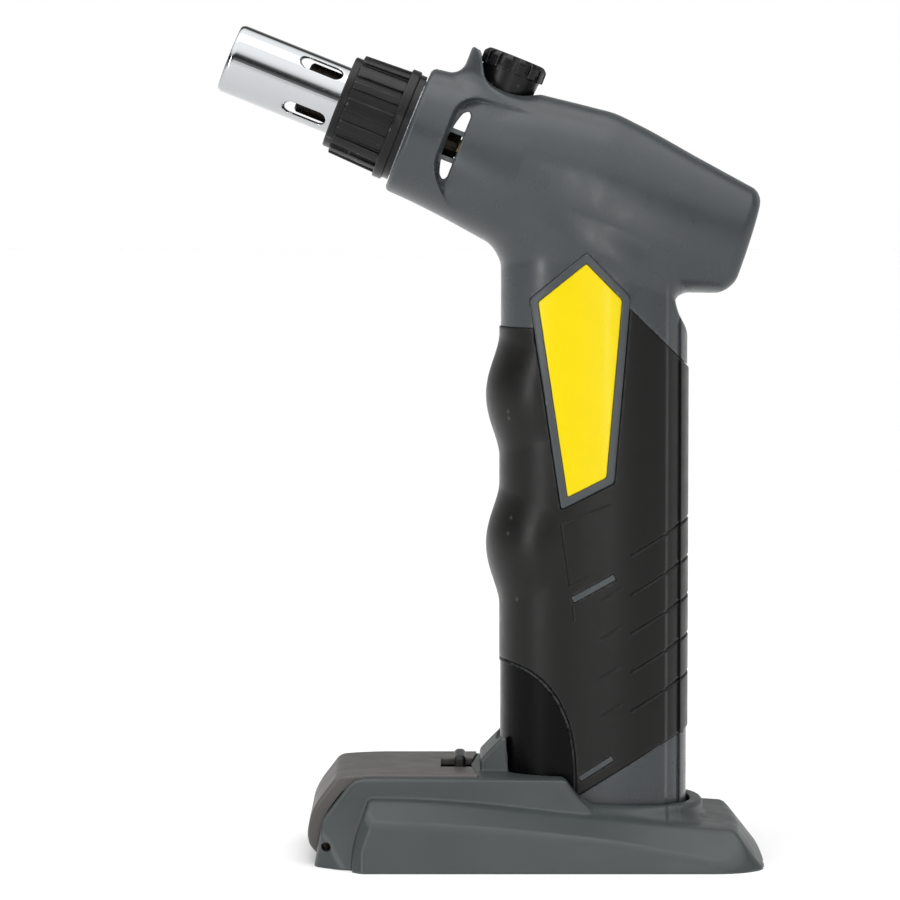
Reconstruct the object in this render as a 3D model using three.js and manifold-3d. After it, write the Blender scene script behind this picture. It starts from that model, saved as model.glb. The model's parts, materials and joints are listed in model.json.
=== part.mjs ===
// Refillable butane hand torch standing in its detachable stand.
// Millimetres, +Z up, burner towards -X, left side of the torch towards -Y.
// Head frame: x is the height above the burner axis, z runs forward along the burner axis.

import * as THREE from 'three';
import { mergeVertices } from 'three/addons/utils/BufferGeometryUtils.js';
import Module from 'manifold-3d';

const wasm = await Module();
wasm.setup();

// ---------- driving dimensions ----------

const GAP = 0.3; // running gap between touching pieces
const WALL = 2; // shell thickness
const GRIP_THICKNESS = 1.3;
const GRIP_RECESS = GRIP_THICKNESS + GAP;

const HANDLE_X = 26.4; // handle axis
const HANDLE_HALF_DEPTH = 24.1;
const HANDLE_HALF_WIDTH = 19;
const HANDLE_POWER = 2.5; // squareness of the handle's section
const HANDLE_BOTTOM = 5;
const HANDLE_TOP = 165;
const SECTION_STEPS = 32;

const BURNER_TILT = THREE.MathUtils.degToRad(21.8);
const HEAD_CENTRE_Z = 165.9; // where the burner axis crosses the handle axis

// Distances forward from the head centre along the burner axis.
const TUBE_TIP = 100.1;
const TUBE_ROOT = 46;
const TUBE_RADIUS = 8.9;
const TUBE_BORE = 8.1;
const SLOT_CENTRE = 77.7;
const SLOT_LENGTH = 11.5;
const SLOT_WIDTH = 4.2;
const NOZZLE_TIP = 79.6;
const NOZZLE_ROOT = 70;
const COLLAR_FRONT = 69.7;
const COLLAR_REAR = 51.8;
const HEAD_FRONT = 50.8;

const KNOB_ALONG = 31.9; // knob axis, forward from the head centre
const KNOB_RADIUS = 8.42;
const KNOB_TOP = 26.9; // heights above the burner axis
const KNOB_BAND_BOTTOM = 22.8;
const KNOB_SKIRT_BOTTOM = 15.2;
const RECESS_RADIUS = 8.8;
const RECESS_FLOOR = 10.2;

const LEVER_PIVOT = { x: 12.1, z: 161.5 };
const PIEZO_X = 31;
const PIEZO_BOTTOM = 160.4;

const TANK_TOP = 116;
const TANK_INSET = GRIP_RECESS + WALL + GAP;

const STAND_REAR = 69.6;
const STAND_FRONT = -34.5;
const STAND_HALF_WIDTH = 37.3;
const STAND_WALL = 2.2;
const TOWER_HALF_WIDTH = 25.5;
const SOCKET_FLOOR = 4.7;
const SOCKET_TOP = 14.2;
const SOCKET_CLEARANCE = 0.6;
const SOCKET_WALL = 3.2;

const PIN = { x: -41.3, z: 5.3, radius: 1, reach: 23.2 };
const LID_HALF_WIDTH = 21.7;
const LID_TOP = 22.8;
const LID_REAR = -3.3;
const LID_WALL = 1.8;

// Each shell screw's place along X and Z, and how far its head reaches from the centre plane.
const SCREW_PLACES = [[55, 157, 15.2], [15.5, 181, 15.2], [9, 128, 11.4], [44, 128, 11.4]];
const SCREW_TIP = -8.5;
const SCREW_HEAD_HEIGHT = 1.7;
const STAND_SCREW_PLACES = [[-27, -29], [-27, 29], [57, -26], [57, 26]];

// ---------- materials ----------

function plastic(color, roughness = 0.55) {
  return new THREE.MeshStandardMaterial({ color, roughness, metalness: 0 });
}

function metal(color, roughness = 0.3) {
  return new THREE.MeshStandardMaterial({ color, roughness, metalness: 1 });
}

const SHELL_GREY = 0x5f6566;
const LID_GREY = 0x6b6866;
const BLACK = 0x28292b;
const RUBBER = 0x2c2a2a;
const YELLOW = 0xf6e41a;
const CHROME = 0xd9dcdf;
const SEAL_RUBBER = plastic(BLACK, 0.8);
const STEEL = 0xa9adb0;
const DARK_METAL = 0x3c3834;
const BRASS = 0xb8974e;

// ---------- solids ----------

function asSolid(geometry) {
  const bare = geometry.index ? geometry.toNonIndexed() : geometry.clone();
  bare.deleteAttribute('normal');
  bare.deleteAttribute('uv');
  const merged = mergeVertices(bare, 1e-4);
  const mesh = new wasm.Mesh({
    numProp: 3,
    vertProperties: new Float32Array(merged.attributes.position.array),
    triVerts: new Uint32Array(merged.index.array),
  });
  return new wasm.Manifold(mesh);
}

function asGeometry(solid) {
  const mesh = solid.getMesh();
  const geometry = new THREE.BufferGeometry();
  geometry.setAttribute('position', new THREE.BufferAttribute(new Float32Array(mesh.vertProperties), 3));
  geometry.setIndex(new THREE.BufferAttribute(new Uint32Array(mesh.triVerts), 1));
  geometry.computeVertexNormals();
  return geometry;
}

function box(x0, x1, y0, y1, z0, z1) {
  const geometry = new THREE.BoxGeometry(x1 - x0, y1 - y0, z1 - z0);
  return geometry.translate((x0 + x1) / 2, (y0 + y1) / 2, (z0 + z1) / 2);
}

// A cylinder about Z, between two heights.
function rod(radius, z0, z1, steps = 20) {
  return new THREE.CylinderGeometry(radius, radius, z1 - z0, steps)
    .rotateX(Math.PI / 2)
    .translate(0, 0, (z0 + z1) / 2);
}

// A cylinder about Y through (x, z), between two values of y.
function crossRod(radius, x, z, y0, y1, steps = 20) {
  return new THREE.CylinderGeometry(radius, radius, y1 - y0, steps).translate(x, (y0 + y1) / 2, z);
}

// A profile of [radius, z] points turned about Z.
function turned(profile, steps = 24) {
  const points = profile.map(([radius, z]) => new THREE.Vector2(radius, z));
  return new THREE.LatheGeometry(points, steps).rotateX(Math.PI / 2);
}

// A ring about Z: a closed profile that never meets the axis.
function ring(outer, inner, z0, z1, steps = 24) {
  return turned([[inner, z0], [outer, z0], [outer, z1], [inner, z1], [inner, z0]], steps);
}

// An outline in X and Y, drawn out between two heights.
function prism(points, z0, z1) {
  const shape = new THREE.Shape(points.map(([x, y]) => new THREE.Vector2(x, y)));
  return new THREE.ExtrudeGeometry(shape, { depth: z1 - z0, bevelEnabled: false }).translate(0, 0, z0);
}

// An outline in X and Z, drawn out between two values of y.
function slab(points, y0, y1) {
  return prism(points, -y1, -y0).rotateX(Math.PI / 2);
}

// An outline in Y and Z, drawn out along X, in several steps.
function beam(points, x0, x1, steps = 1) {
  const shape = new THREE.Shape(points.map(([y, z]) => new THREE.Vector2(y, z)));
  return new THREE.ExtrudeGeometry(shape, { depth: x1 - x0, steps, bevelEnabled: false })
    .rotateY(Math.PI / 2)
    .rotateX(Math.PI / 2)
    .translate(x0, 0, 0);
}

function tubeAlong(points, radius, steps, sides = 8) {
  const circle = Array.from({ length: sides }, (_, i) => {
    const angle = (i / sides) * 2 * Math.PI;
    return new THREE.Vector2(radius * Math.cos(angle), radius * Math.sin(angle));
  });
  const extrudePath = new THREE.CatmullRomCurve3(points.map((p) => new THREE.Vector3(...p)));
  return new THREE.ExtrudeGeometry(new THREE.Shape(circle), { steps, bevelEnabled: false, extrudePath });
}

const headFrame = new THREE.Matrix4()
  .makeRotationY(BURNER_TILT - Math.PI / 2)
  .setPosition(HANDLE_X, 0, HEAD_CENTRE_Z);

const knobFrame = headFrame.clone().multiply(
  new THREE.Matrix4().makeRotationY(Math.PI / 2).setPosition(0, 0, KNOB_ALONG),
);

function inHead(geometry) {
  return asSolid(geometry.applyMatrix4(headFrame));
}

function inKnob(geometry) {
  return asSolid(geometry.applyMatrix4(knobFrame));
}

// ---------- the torch's outer form ----------

// The handle's section: a rounded oval, grown or shrunk by an offset.
function handleOutline(offset = 0) {
  const depth = HANDLE_HALF_DEPTH + offset;
  const width = HANDLE_HALF_WIDTH + offset;
  return Array.from({ length: SECTION_STEPS }, (_, i) => {
    const angle = (i / SECTION_STEPS) * 2 * Math.PI;
    const c = Math.cos(angle);
    const s = Math.sin(angle);
    const power = 2 / HANDLE_POWER;
    return [
      HANDLE_X + depth * Math.sign(c) * Math.abs(c) ** power,
      width * Math.sign(s) * Math.abs(s) ** power,
    ];
  });
}

function handleSolid(offset, z0, z1) {
  return asSolid(prism(handleOutline(offset), z0, z1));
}

// Stations of the head from its rear end forward: distance, top, bottom, half width.
const HEAD_STATIONS = [
  [-40.4, 14.6, -6.2, 13],
  [-39.6, 16.8, -8, 14.8],
  [-36.6, 18.6, -10, 16],
  [-20, 20.8, -15, 18.4],
  [0, 23, -20.5, 19.6],
  [7, 22.7, -20.8, 19.6],
  [22, 20.5, -19.2, 19],
  [32, 18.1, -17.9, 18],
  [46, 17.1, -17, 17.1],
  [HEAD_FRONT, 16.4, -16.4, 16.4],
];

// Rings of a cylinder fitted to the stations.
function headForm(inset = 0) {
  const last = HEAD_STATIONS.length - 1;
  const geometry = new THREE.CylinderGeometry(1, 1, 1, SECTION_STEPS, last);
  const position = geometry.attributes.position;
  for (let i = 0; i < position.count; i += 1) {
    const row = Math.round((position.getY(i) + 0.5) * last);
    const [along, top, bottom, halfWidth] = HEAD_STATIONS[row];
    const end = (row === 0 ? inset : 0) - (row === last ? inset : 0);
    const halfHeight = (top - bottom) / 2 - inset;
    const middle = (top + bottom) / 2;
    position.setXYZ(
      i,
      middle + halfHeight * position.getZ(i),
      (halfWidth - inset) * position.getX(i),
      along + end,
    );
  }
  return inHead(geometry);
}

// The raised guard in front of the knob, in height and distance along the head.
function knobGuard() {
  const side = [[12, 45], [18, 45.2], [22, 43.6], [25.2, 43.2], [25.2, 40.6], [20, 37], [12, 35]];
  const shape = new THREE.Shape(side.map(([h, along]) => new THREE.Vector2(h, along)));
  const geometry = new THREE.ExtrudeGeometry(shape, { depth: 12, bevelEnabled: false });
  return inHead(geometry.translate(0, 0, -6).rotateX(Math.PI / 2));
}

// Where the rubber grip lies, seen from the side.
const GRIP_SIDE = [
  [-6, 134.7], [29, 134.7], [34.4, 140], [56, 119],
  [56, 33.5], [48.6, 31.3], [41.4, 29.5], [36, 25.3], [22.8, 17.6],
  [21.5, 21.7], [20.5, 31.8], [18.5, 38.3], [15, 43.8], [8.9, 48.7], [-6, 51.5],
];

// Where the warning panel lies, below the grip's lower front edge.
const PANEL_SIDE = [
  [-6, 51.2], [8.7, 48.3], [14.7, 43.5], [18.2, 38.1], [20.2, 31.7], [21.2, 21.7], [20.6, 17.4], [-6, 17.4],
];

const RECESS_SIDE = [
  [-6, 135], [29, 135], [34.4, 140.4], [56, 119.4],
  [56, 33.1], [48.6, 31], [41.4, 29.2], [36, 25], [22.8, 17.1], [-6, 17.1],
];

// The five-sided badge, seen from the side.
const BADGE_SIDE = [[24, 153.8], [34.9, 142.7], [30.9, 96.1], [17.7, 89.4], [9.7, 142.2]];
const BADGE_BORDER = 1.9;

// The same outline moved in by a distance, by crossing its shifted edges.
function insetOutline(points, distance) {
  const count = points.length;
  const middle = points.reduce((sum, [x, z]) => [sum[0] + x / count, sum[1] + z / count], [0, 0]);
  const edges = points.map(([x, z], i) => {
    const [x2, z2] = points[(i + 1) % count];
    const length = Math.hypot(x2 - x, z2 - z);
    let normal = [(z2 - z) / length, (x - x2) / length];
    const outward = (x - middle[0]) * normal[0] + (z - middle[1]) * normal[1];
    if (outward < 0) normal = [-normal[0], -normal[1]];
    return { normal, reach: x * normal[0] + z * normal[1] - distance };
  });
  return edges.map((edge, i) => {
    const before = edges[(i + count - 1) % count];
    const [a, b] = before.normal;
    const [c, d] = edge.normal;
    const det = a * d - b * c;
    return [(before.reach * d - b * edge.reach) / det, (a * edge.reach - c * before.reach) / det];
  });
}

function half(solid, side) {
  const [y0, y1] = side < 0 ? [-60, -GAP / 2] : [GAP / 2, 60];
  return solid.intersect(asSolid(box(-120, 120, y0, y1, -10, 260)));
}

// ---------- shells, grip, badge and panel ----------

// Two rounds that stand out of the front of the grip for the fingers.
function fingerBumps() {
  const rounds = [[-0.3, 117.2, 16.9], [-0.8, 79.2, 17.2]];
  return rounds.map(([front, z, radius]) => asSolid(
    new THREE.SphereGeometry(1, 24, 16).scale(radius, 15, radius).translate(front + radius, 0, z),
  )).reduce((sum, bump) => sum.add(bump));
}

function ventCutters() {
  const openings = [[4.5, 9.3], [-2.8, 3.1], [-9.1, -4]];
  return openings.map(([low, high]) => inHead(box(low, high, -30, 30, 37.5, 40.4)))
    .reduce((sum, vent) => sum.add(vent));
}

function screwBosses() {
  return SCREW_PLACES.map(([x, z]) => asSolid(crossRod(3.2, x, z, -16.5, 16.5)))
    .reduce((sum, boss) => sum.add(boss));
}

function screwBores() {
  return SCREW_PLACES.map(([x, z, reach]) => {
    const shank = asSolid(crossRod(1.5, x, z, SCREW_TIP - 0.5, 40, 16));
    const head = asSolid(crossRod(3, x, z, reach - SCREW_HEAD_HEIGHT - GAP, 40));
    return shank.add(head);
  }).reduce((sum, bore) => sum.add(bore));
}

const badgePocket = asSolid(slab(insetOutline(BADGE_SIDE, -GAP), -40, 40))
  .subtract(handleSolid(-0.9 - GAP, -10, 260));

function shellBody() {
  const outer = headForm().add(handleSolid(0, HANDLE_BOTTOM, HANDLE_TOP)).add(knobGuard());
  const inner = headForm(WALL).add(handleSolid(-GRIP_RECESS - WALL, HANDLE_BOTTOM + WALL, HANDLE_TOP));
  const gripSeat = asSolid(slab(RECESS_SIDE, -40, 40)).subtract(handleSolid(-GRIP_RECESS, -10, 260));
  const knobCup = inKnob(rod(RECESS_RADIUS + 1.6, RECESS_FLOOR - 1.6, 17));
  const knobRecess = inKnob(rod(RECESS_RADIUS, RECESS_FLOOR, 40, 40));
  const stemHole = inKnob(rod(7.4, 0, RECESS_FLOOR + 1));
  const burnerMouth = inHead(rod(13.4, HEAD_FRONT - 4, HEAD_FRONT + 2));
  const refillHole = asSolid(rod(4.5, 0, 20).translate(HANDLE_X, 0, 0));
  const insideOnly = outer.intersect(screwBosses().add(knobCup));
  return outer.subtract(inner).add(insideOnly)
    .subtract(gripSeat).subtract(knobRecess).subtract(stemHole)
    .subtract(burnerMouth).subtract(refillHole).subtract(ventCutters()).subtract(screwBores())
    .subtract(badgePocket);
}

function gripBody() {
  const outer = handleSolid(0, 10, 150).add(fingerBumps());
  return outer.intersect(asSolid(slab(GRIP_SIDE, -40, 40)))
    .subtract(handleSolid(-GRIP_THICKNESS, -10, 260))
    .subtract(badgePocket)
    .subtract(screwBores());
}

function panelBody() {
  return handleSolid(0, 10, 60).intersect(asSolid(slab(PANEL_SIDE, -40, 40)))
    .subtract(handleSolid(-GRIP_THICKNESS, -10, 260));
}

function badgeFrame(side) {
  const skin = handleSolid(0.6, 60, 160).subtract(handleSolid(-0.9, 50, 170));
  const window = asSolid(slab(insetOutline(BADGE_SIDE, BADGE_BORDER), -40, 40))
    .subtract(handleSolid(-0.4, 50, 170));
  return half(skin.intersect(asSolid(slab(BADGE_SIDE, -40, 40))).subtract(window), side);
}

function badgeInsert(side) {
  const skin = handleSolid(0.5, 60, 160).subtract(handleSolid(-0.1, 50, 170));
  return half(skin.intersect(asSolid(slab(insetOutline(BADGE_SIDE, BADGE_BORDER + GAP), -40, 40))), side);
}

// A self-tapping screw along Y: its head is at the right side of the torch.
function shellScrew([x, z, reach]) {
  const headBottom = reach - SCREW_HEAD_HEIGHT;
  return asSolid(crossRod(1.2, x, z, SCREW_TIP, headBottom + 0.1, 12))
    .add(asSolid(crossRod(2.6, x, z, headBottom, reach, 16)))
    .subtract(asSolid(box(x - 2, x + 2, reach - 0.6, reach + 1, z - 0.35, z + 0.35)));
}

// ---------- fuel tank and gas path ----------

function fuelTank() {
  const outer = handleSolid(-TANK_INSET, HANDLE_BOTTOM + WALL + GAP, TANK_TOP);
  const inner = handleSolid(-TANK_INSET - 1.8, HANDLE_BOTTOM + WALL + GAP + 1.8, TANK_TOP - 1.8);
  const outlet = asSolid(rod(2.4, TANK_TOP - 5, TANK_TOP + 5).translate(HANDLE_X, 0, 0));
  const refill = asSolid(rod(3.4, 0, 20).translate(HANDLE_X, 0, 0));
  return outer.subtract(inner).subtract(outlet).subtract(refill);
}

function refillValve() {
  const x = HANDLE_X;
  return asSolid(rod(2.8, 6, 22, 16).translate(x, 0, 0))
    .subtract(asSolid(rod(1, 5, 9, 12).translate(x, 0, 0)));
}

const TANK_FITTING_TOP = TANK_TOP + 8;

function tankFitting() {
  const x = HANDLE_X;
  return asSolid(rod(2, TANK_TOP - 6, TANK_FITTING_TOP, 16).translate(x, 0, 0))
    .add(asSolid(rod(4, TANK_TOP + GAP, TANK_TOP + 3.5, 6).translate(x, 0, 0)));
}

// The gas tube rises from the tank fitting to the valve, beside the lever.
const GAS_TUBE_ROUTE = [
  [HANDLE_X, 0, TANK_FITTING_TOP + GAP],
  [HANDLE_X, 0, TANK_FITTING_TOP + 6],
  [22.5, 6, 142],
  [19, 9.3, 151],
  [18, 9.6, 160],
  [12.5, 8, 169.5],
  [6.5, 2.5, 174.6],
  [2.1, 0, 175.7],
];

// Valve body: across the burner axis, with a spigot forward for the jet pipe. Head frame.
function valveBody() {
  const body = asSolid(rod(5.2, -6.5, 7, 24).rotateY(Math.PI / 2).translate(0, 0, KNOB_ALONG));
  const spigot = asSolid(rod(2.4, KNOB_ALONG + 4, KNOB_ALONG + 8, 16));
  return body.add(spigot);
}

// The jet pipe slips over the valve's spigot and carries the jet at its end.
const JET_PIPE_ROOT = KNOB_ALONG + 5.6;
const JET_PIPE_TIP = 43;
const JET_PROFILE = [[0, 40.6], [2.4, 40.6], [2.4, 43.4], [1, 44.6], [0, 44.6]];

// Burner holder: seats in the head's mouth and carries the burner tube and collar.
const HOLDER_PROFILE = [
  [6.4, TUBE_ROOT - 1.8], [12.8, TUBE_ROOT - 1.8], [12.8, HEAD_FRONT + 0.4], [10.4, HEAD_FRONT + 0.4],
  [10.4, 66], [9.2, 66], [9.2, TUBE_ROOT + 0.2], [6.4, TUBE_ROOT + 0.2], [6.4, TUBE_ROOT - 1.8],
];

function burnerTube() {
  const wall = asSolid(turned([
    [TUBE_BORE, TUBE_ROOT + 0.6], [TUBE_RADIUS, TUBE_ROOT + 0.6], [TUBE_RADIUS, TUBE_TIP - 1.6],
    [TUBE_RADIUS - 0.3, TUBE_TIP - 0.6], [TUBE_RADIUS - 0.7, TUBE_TIP], [TUBE_BORE - 0.2, TUBE_TIP],
    [TUBE_BORE, TUBE_TIP - 0.8], [TUBE_BORE, TUBE_ROOT + 0.6],
  ], 32));
  const slots = [45, 135].map((degrees) => {
    const reach = (SLOT_LENGTH - SLOT_WIDTH) / 2;
    const ends = [-reach, reach].map((offset) => asSolid(crossRod(
      SLOT_WIDTH / 2, 0, SLOT_CENTRE + offset, -20, 20, 14,
    )));
    const middle = asSolid(box(
      -SLOT_WIDTH / 2, SLOT_WIDTH / 2, -20, 20, SLOT_CENTRE - reach, SLOT_CENTRE + reach,
    ));
    return ends[0].add(ends[1]).add(middle).rotate(0, 0, degrees);
  });
  return wall.subtract(slots[0]).subtract(slots[1]);
}

// Mixing tube with the burner nozzle's seat at its front end. Head frame.
const MIXING_TUBE_ROOT = 45;

function burnerNozzle() {
  const outside = asSolid(turned([
    [0, NOZZLE_ROOT + 2], [4.6, NOZZLE_ROOT + 2], [4.6, NOZZLE_ROOT], [6.6, NOZZLE_ROOT],
    [6.6, NOZZLE_TIP - 0.6], [6, NOZZLE_TIP], [0, NOZZLE_TIP],
  ], 24));
  const ports = [0, 1, 2, 3, 4, 5].map((i) => {
    const angle = (i / 6) * 2 * Math.PI;
    return asSolid(rod(0.8, NOZZLE_TIP - 3, NOZZLE_TIP + 1, 8)
      .translate(3.6 * Math.cos(angle), 3.6 * Math.sin(angle), 0));
  });
  return ports.reduce((sum, port) => sum.subtract(port), outside);
}

// The collar: two smooth flanges with a fluted band between them. Head frame.
function airCollar() {
  const bore = 11;
  const core = asSolid(turned([
    [bore, COLLAR_REAR], [14.5, COLLAR_REAR], [14.5, COLLAR_REAR + 4.1], [13.1, COLLAR_REAR + 4.2],
    [12.5, COLLAR_FRONT - 3.7], [12.5, COLLAR_FRONT - 0.5], [12, COLLAR_FRONT], [9.5, COLLAR_FRONT],
    [9.5, 67], [bore, 67], [bore, COLLAR_REAR],
  ], 32));
  const ribs = Array.from({ length: 16 }, (_, i) => asSolid(
    box(12, 13.6, -1.5, 1.5, COLLAR_REAR + 3.5, COLLAR_FRONT - 3.2),
  ).rotate(0, 0, (i / 16) * 360));
  return ribs.reduce((sum, rib) => sum.add(rib), core);
}

// ---------- knob and ignition ----------

// Knob frame: z is the height above the burner axis.
function controlKnob() {
  const bore = 5.6;
  const core = asSolid(turned([
    [bore, KNOB_SKIRT_BOTTOM], [7.1, KNOB_SKIRT_BOTTOM], [7.7, KNOB_BAND_BOTTOM], [8, KNOB_BAND_BOTTOM],
    [8, KNOB_TOP - 1], [7.1, KNOB_TOP], [0, KNOB_TOP], [0, KNOB_TOP - 2], [bore, KNOB_TOP - 2],
    [bore, KNOB_SKIRT_BOTTOM],
  ], 28));
  const ribs = Array.from({ length: 14 }, (_, i) => asSolid(
    box(7.4, KNOB_RADIUS, -1.1, 1.1, KNOB_BAND_BOTTOM, KNOB_TOP - 1),
  ).rotate(0, 0, (i / 14) * 360));
  return ribs.reduce((sum, rib) => sum.add(rib), core);
}

// The plunger only slides: it carries the knob, and its two legs straddle the valve.
const LEG_BOTTOM = -6.5;

function plunger() {
  const cup = asSolid(rod(5.3, 14.8, KNOB_TOP - 2.4, 24)).subtract(asSolid(rod(3.6, 10, 22, 20)));
  const legs = [-1, 1].map((side) => {
    const [y0, y1] = side < 0 ? [-6.8, -5.6] : [5.6, 6.8];
    return asSolid(box(-1.6, 1.6, y0, y1, LEG_BOTTOM, 12.6));
  });
  const flange = asSolid(rod(7, 12.4, 14.9, 24)).subtract(asSolid(rod(3.6, 10, 22, 20)));
  return cup.add(flange).add(legs[0]).add(legs[1]);
}

// The return spring stands on the valve and presses the plunger up. Knob frame.
const SPRING_BOTTOM = 7.4;
const SPRING_TOP = 21.6;

function returnSpring() {
  const turns = 5;
  const perTurn = 9;
  const radius = 2.8;
  const wire = 0.35;
  const points = Array.from({ length: turns * perTurn + 1 }, (_, i) => {
    const angle = (i / perTurn) * 2 * Math.PI;
    const rise = (SPRING_TOP - SPRING_BOTTOM - 2 * wire) * (i / (turns * perTurn));
    return [radius * Math.cos(angle), radius * Math.sin(angle), SPRING_BOTTOM + wire + rise];
  });
  return tubeAlong(points, wire, turns * perTurn, 5);
}

// A rocker: two front arms under the plunger's legs, and a round pad under the piezo's cap.
const LEVER_PAD_RADIUS = 2;
const LEVER_TIP_DROP = 0.5; // the arms slope, so that they clear the legs when the lever has tilted
const CAP_BOTTOM = PIEZO_BOTTOM - 0.7;

function ignitionLever() {
  const { x, z } = LEVER_PIVOT;
  const legEnd = new THREE.Vector3(0, 0, LEG_BOTTOM - GAP).applyMatrix4(knobFrame);
  const along = [Math.cos(BURNER_TILT) * 2, -Math.sin(BURNER_TILT) * 2];
  const padZ = CAP_BOTTOM - GAP - LEVER_PAD_RADIUS;
  const side = [
    [legEnd.x - along[0], legEnd.z - along[1]],
    [legEnd.x + along[0], legEnd.z + along[1] - LEVER_TIP_DROP],
    [x - 2, z + 3], [x + 2, z + 3], [PIEZO_X - 1, padZ + 1], [PIEZO_X - 1, padZ - 1.6], [x, z - 3],
    [legEnd.x - along[0] + 0.4, legEnd.z - along[1] - 1.8],
  ];
  const plate = asSolid(slab(side, -7, 7)).add(asSolid(crossRod(LEVER_PAD_RADIUS, PIEZO_X, padZ, -7, 7, 16)));
  const valveSlot = asSolid(box(-20, x - 5, -5.4, 5.4, 150, 190));
  return plate.subtract(valveSlot).subtract(asSolid(crossRod(1.6, x, z, -10, 10, 16)));
}

// The piezo's body is open at its foot, where its cap slides in.
function piezoBody() {
  const [bottom, top] = [PIEZO_BOTTOM + 4.2, PIEZO_BOTTOM + 22.8];
  return asSolid(box(PIEZO_X - 4.6, PIEZO_X + 4.6, -4.6, 4.6, bottom, top))
    .subtract(asSolid(box(PIEZO_X - 3.5, PIEZO_X + 3.5, -3.5, 3.5, bottom - 1, bottom + 7)));
}

// ---------- stand ----------

// Section of the stand's skirt in y and z, shrunk by an inset.
function skirtSection(inset) {
  const [foot, shoulder, ledge, top] = [STAND_HALF_WIDTH, 34, 27.5, 26].map((y) => y - inset);
  const heights = [12 - inset * 0.6, 16.7 - inset];
  const rightSide = [[foot, -1], [foot, 0], [shoulder, heights[0]], [ledge, heights[1]], [top, heights[1]]];
  return [...rightSide, ...rightSide.map(([y, z]) => [-y, z]).reverse()];
}

// The skirt drops towards the rear.
function skirt(inset) {
  const geometry = beam(skirtSection(inset), STAND_FRONT + inset, STAND_REAR - inset, 6);
  const position = geometry.attributes.position;
  for (let i = 0; i < position.count; i += 1) {
    const fall = 1 - 0.0053 * (position.getX(i) - STAND_FRONT);
    if (position.getZ(i) > 0) position.setZ(i, position.getZ(i) * fall);
  }
  const side = [
    [STAND_FRONT + inset, -1], [STAND_REAR - inset, -1], [STAND_REAR - inset, 0.6],
    [62.3 - inset, 9.4 - inset], [62.3 - inset, 30], [-29 + inset, 30], [STAND_FRONT + inset, 10],
  ];
  const corner = 9 - inset / 2;
  const plan = roundedPlan(STAND_FRONT + inset, STAND_REAR - inset, STAND_HALF_WIDTH - inset, corner);
  return asSolid(geometry).intersect(asSolid(slab(side, -60, 60))).intersect(asSolid(prism(plan, -5, 40)));
}

// A rectangle with rounded rear corners.
function roundedPlan(x0, x1, halfWidth, radius) {
  const arc = Array.from({ length: 7 }, (_, i) => {
    const angle = (i / 6) * (Math.PI / 2);
    return [x1 - radius + radius * Math.sin(angle), halfWidth - radius + radius * Math.cos(angle)];
  });
  return [[x0, -halfWidth], [x0, halfWidth], ...arc, ...arc.map(([x, y]) => [x, -y]).reverse()];
}

// The raised front of the stand, seen from the side.
function tower(inset) {
  const side = [
    [-44.6 + inset, -1], [-43.4 + inset, 7], [-42.4 + inset, 11.8], [-35.2 + inset, 21 - inset],
    [-31.8 + inset, 22.5 - inset], [18.5 - inset, 22 - inset], [24 - inset, 12], [24 - inset, -1],
  ];
  const section = [
    [31.8 - inset, -1], [31.8 - inset, 0], [TOWER_HALF_WIDTH - inset, 12],
    [24.3 - inset, 21.4 - inset], [22 - inset, 22.5 - inset],
  ];
  const outline = [...section, ...section.map(([y, z]) => [-y, z]).reverse()];
  const plan = [
    [30, 40], [-37, 40], [-37 + inset, 31.8 - inset], [-44.6 + inset, 25.5 - inset],
    [-44.6 + inset, -25.5 + inset], [-37 + inset, -31.8 + inset], [-37, -40], [30, -40],
  ];
  return asSolid(slab(side, -60, 60)).intersect(asSolid(beam(outline, -60, 60)))
    .intersect(asSolid(prism(plan, -5, 40)));
}

function standOuter(inset) {
  return skirt(inset).add(tower(inset));
}

const COMPARTMENT = { x0: -34.6, x1: -6, halfWidth: 19.2, z0: 4.2 };

function standBody() {
  const socket = handleSolid(SOCKET_CLEARANCE + SOCKET_WALL, 2.6, SOCKET_TOP);
  const strut = asSolid(slab([[-3, 18], [-3, 25.2], [2.6, 30.8], [12, 30.8], [12, 18]], -11.5, 11.5));
  const { x0, x1, halfWidth, z0 } = COMPARTMENT;
  const tray = asSolid(box(x0 - 1.6, x1 + 1.6, -halfWidth - 1.6, halfWidth + 1.6, z0 - 1.6, 18));
  const above = asSolid(box(-60, 90, -60, 60, 0, 40));
  const bosses = STAND_SCREW_PLACES.map(([x, y]) => asSolid(rod(3, 2.1, 12, 16).translate(x, y, 0)))
    .reduce((sum, boss) => sum.add(boss)).intersect(standOuter(0.6));
  const bores = STAND_SCREW_PLACES.map(([x, y]) => asSolid(rod(1.5, 0, 6, 12).translate(x, y, 0)))
    .reduce((sum, bore) => sum.add(bore));
  const solid = standOuter(0).subtract(standOuter(STAND_WALL)).intersect(above)
    .add(socket).add(tray).add(strut).add(bosses).subtract(bores);
  const torchSpace = handleSolid(SOCKET_CLEARANCE, SOCKET_FLOOR, 60);
  const traySpace = asSolid(box(x0, x1, -halfWidth, halfWidth, z0, 40));
  const lidSpace = asSolid(slab(
    [[-60, -2], [-36.4, -2], [-36.4, 18.2], [LID_REAR + GAP, 18.2], [LID_REAR + GAP, 40], [-60, 40]],
    -LID_HALF_WIDTH - GAP, LID_HALF_WIDTH + GAP,
  ));
  const pinBore = asSolid(crossRod(PIN.radius + GAP / 2, PIN.x, PIN.z, -40, 40));
  return solid.subtract(torchSpace).subtract(traySpace).subtract(lidSpace).subtract(pinBore);
}

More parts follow.
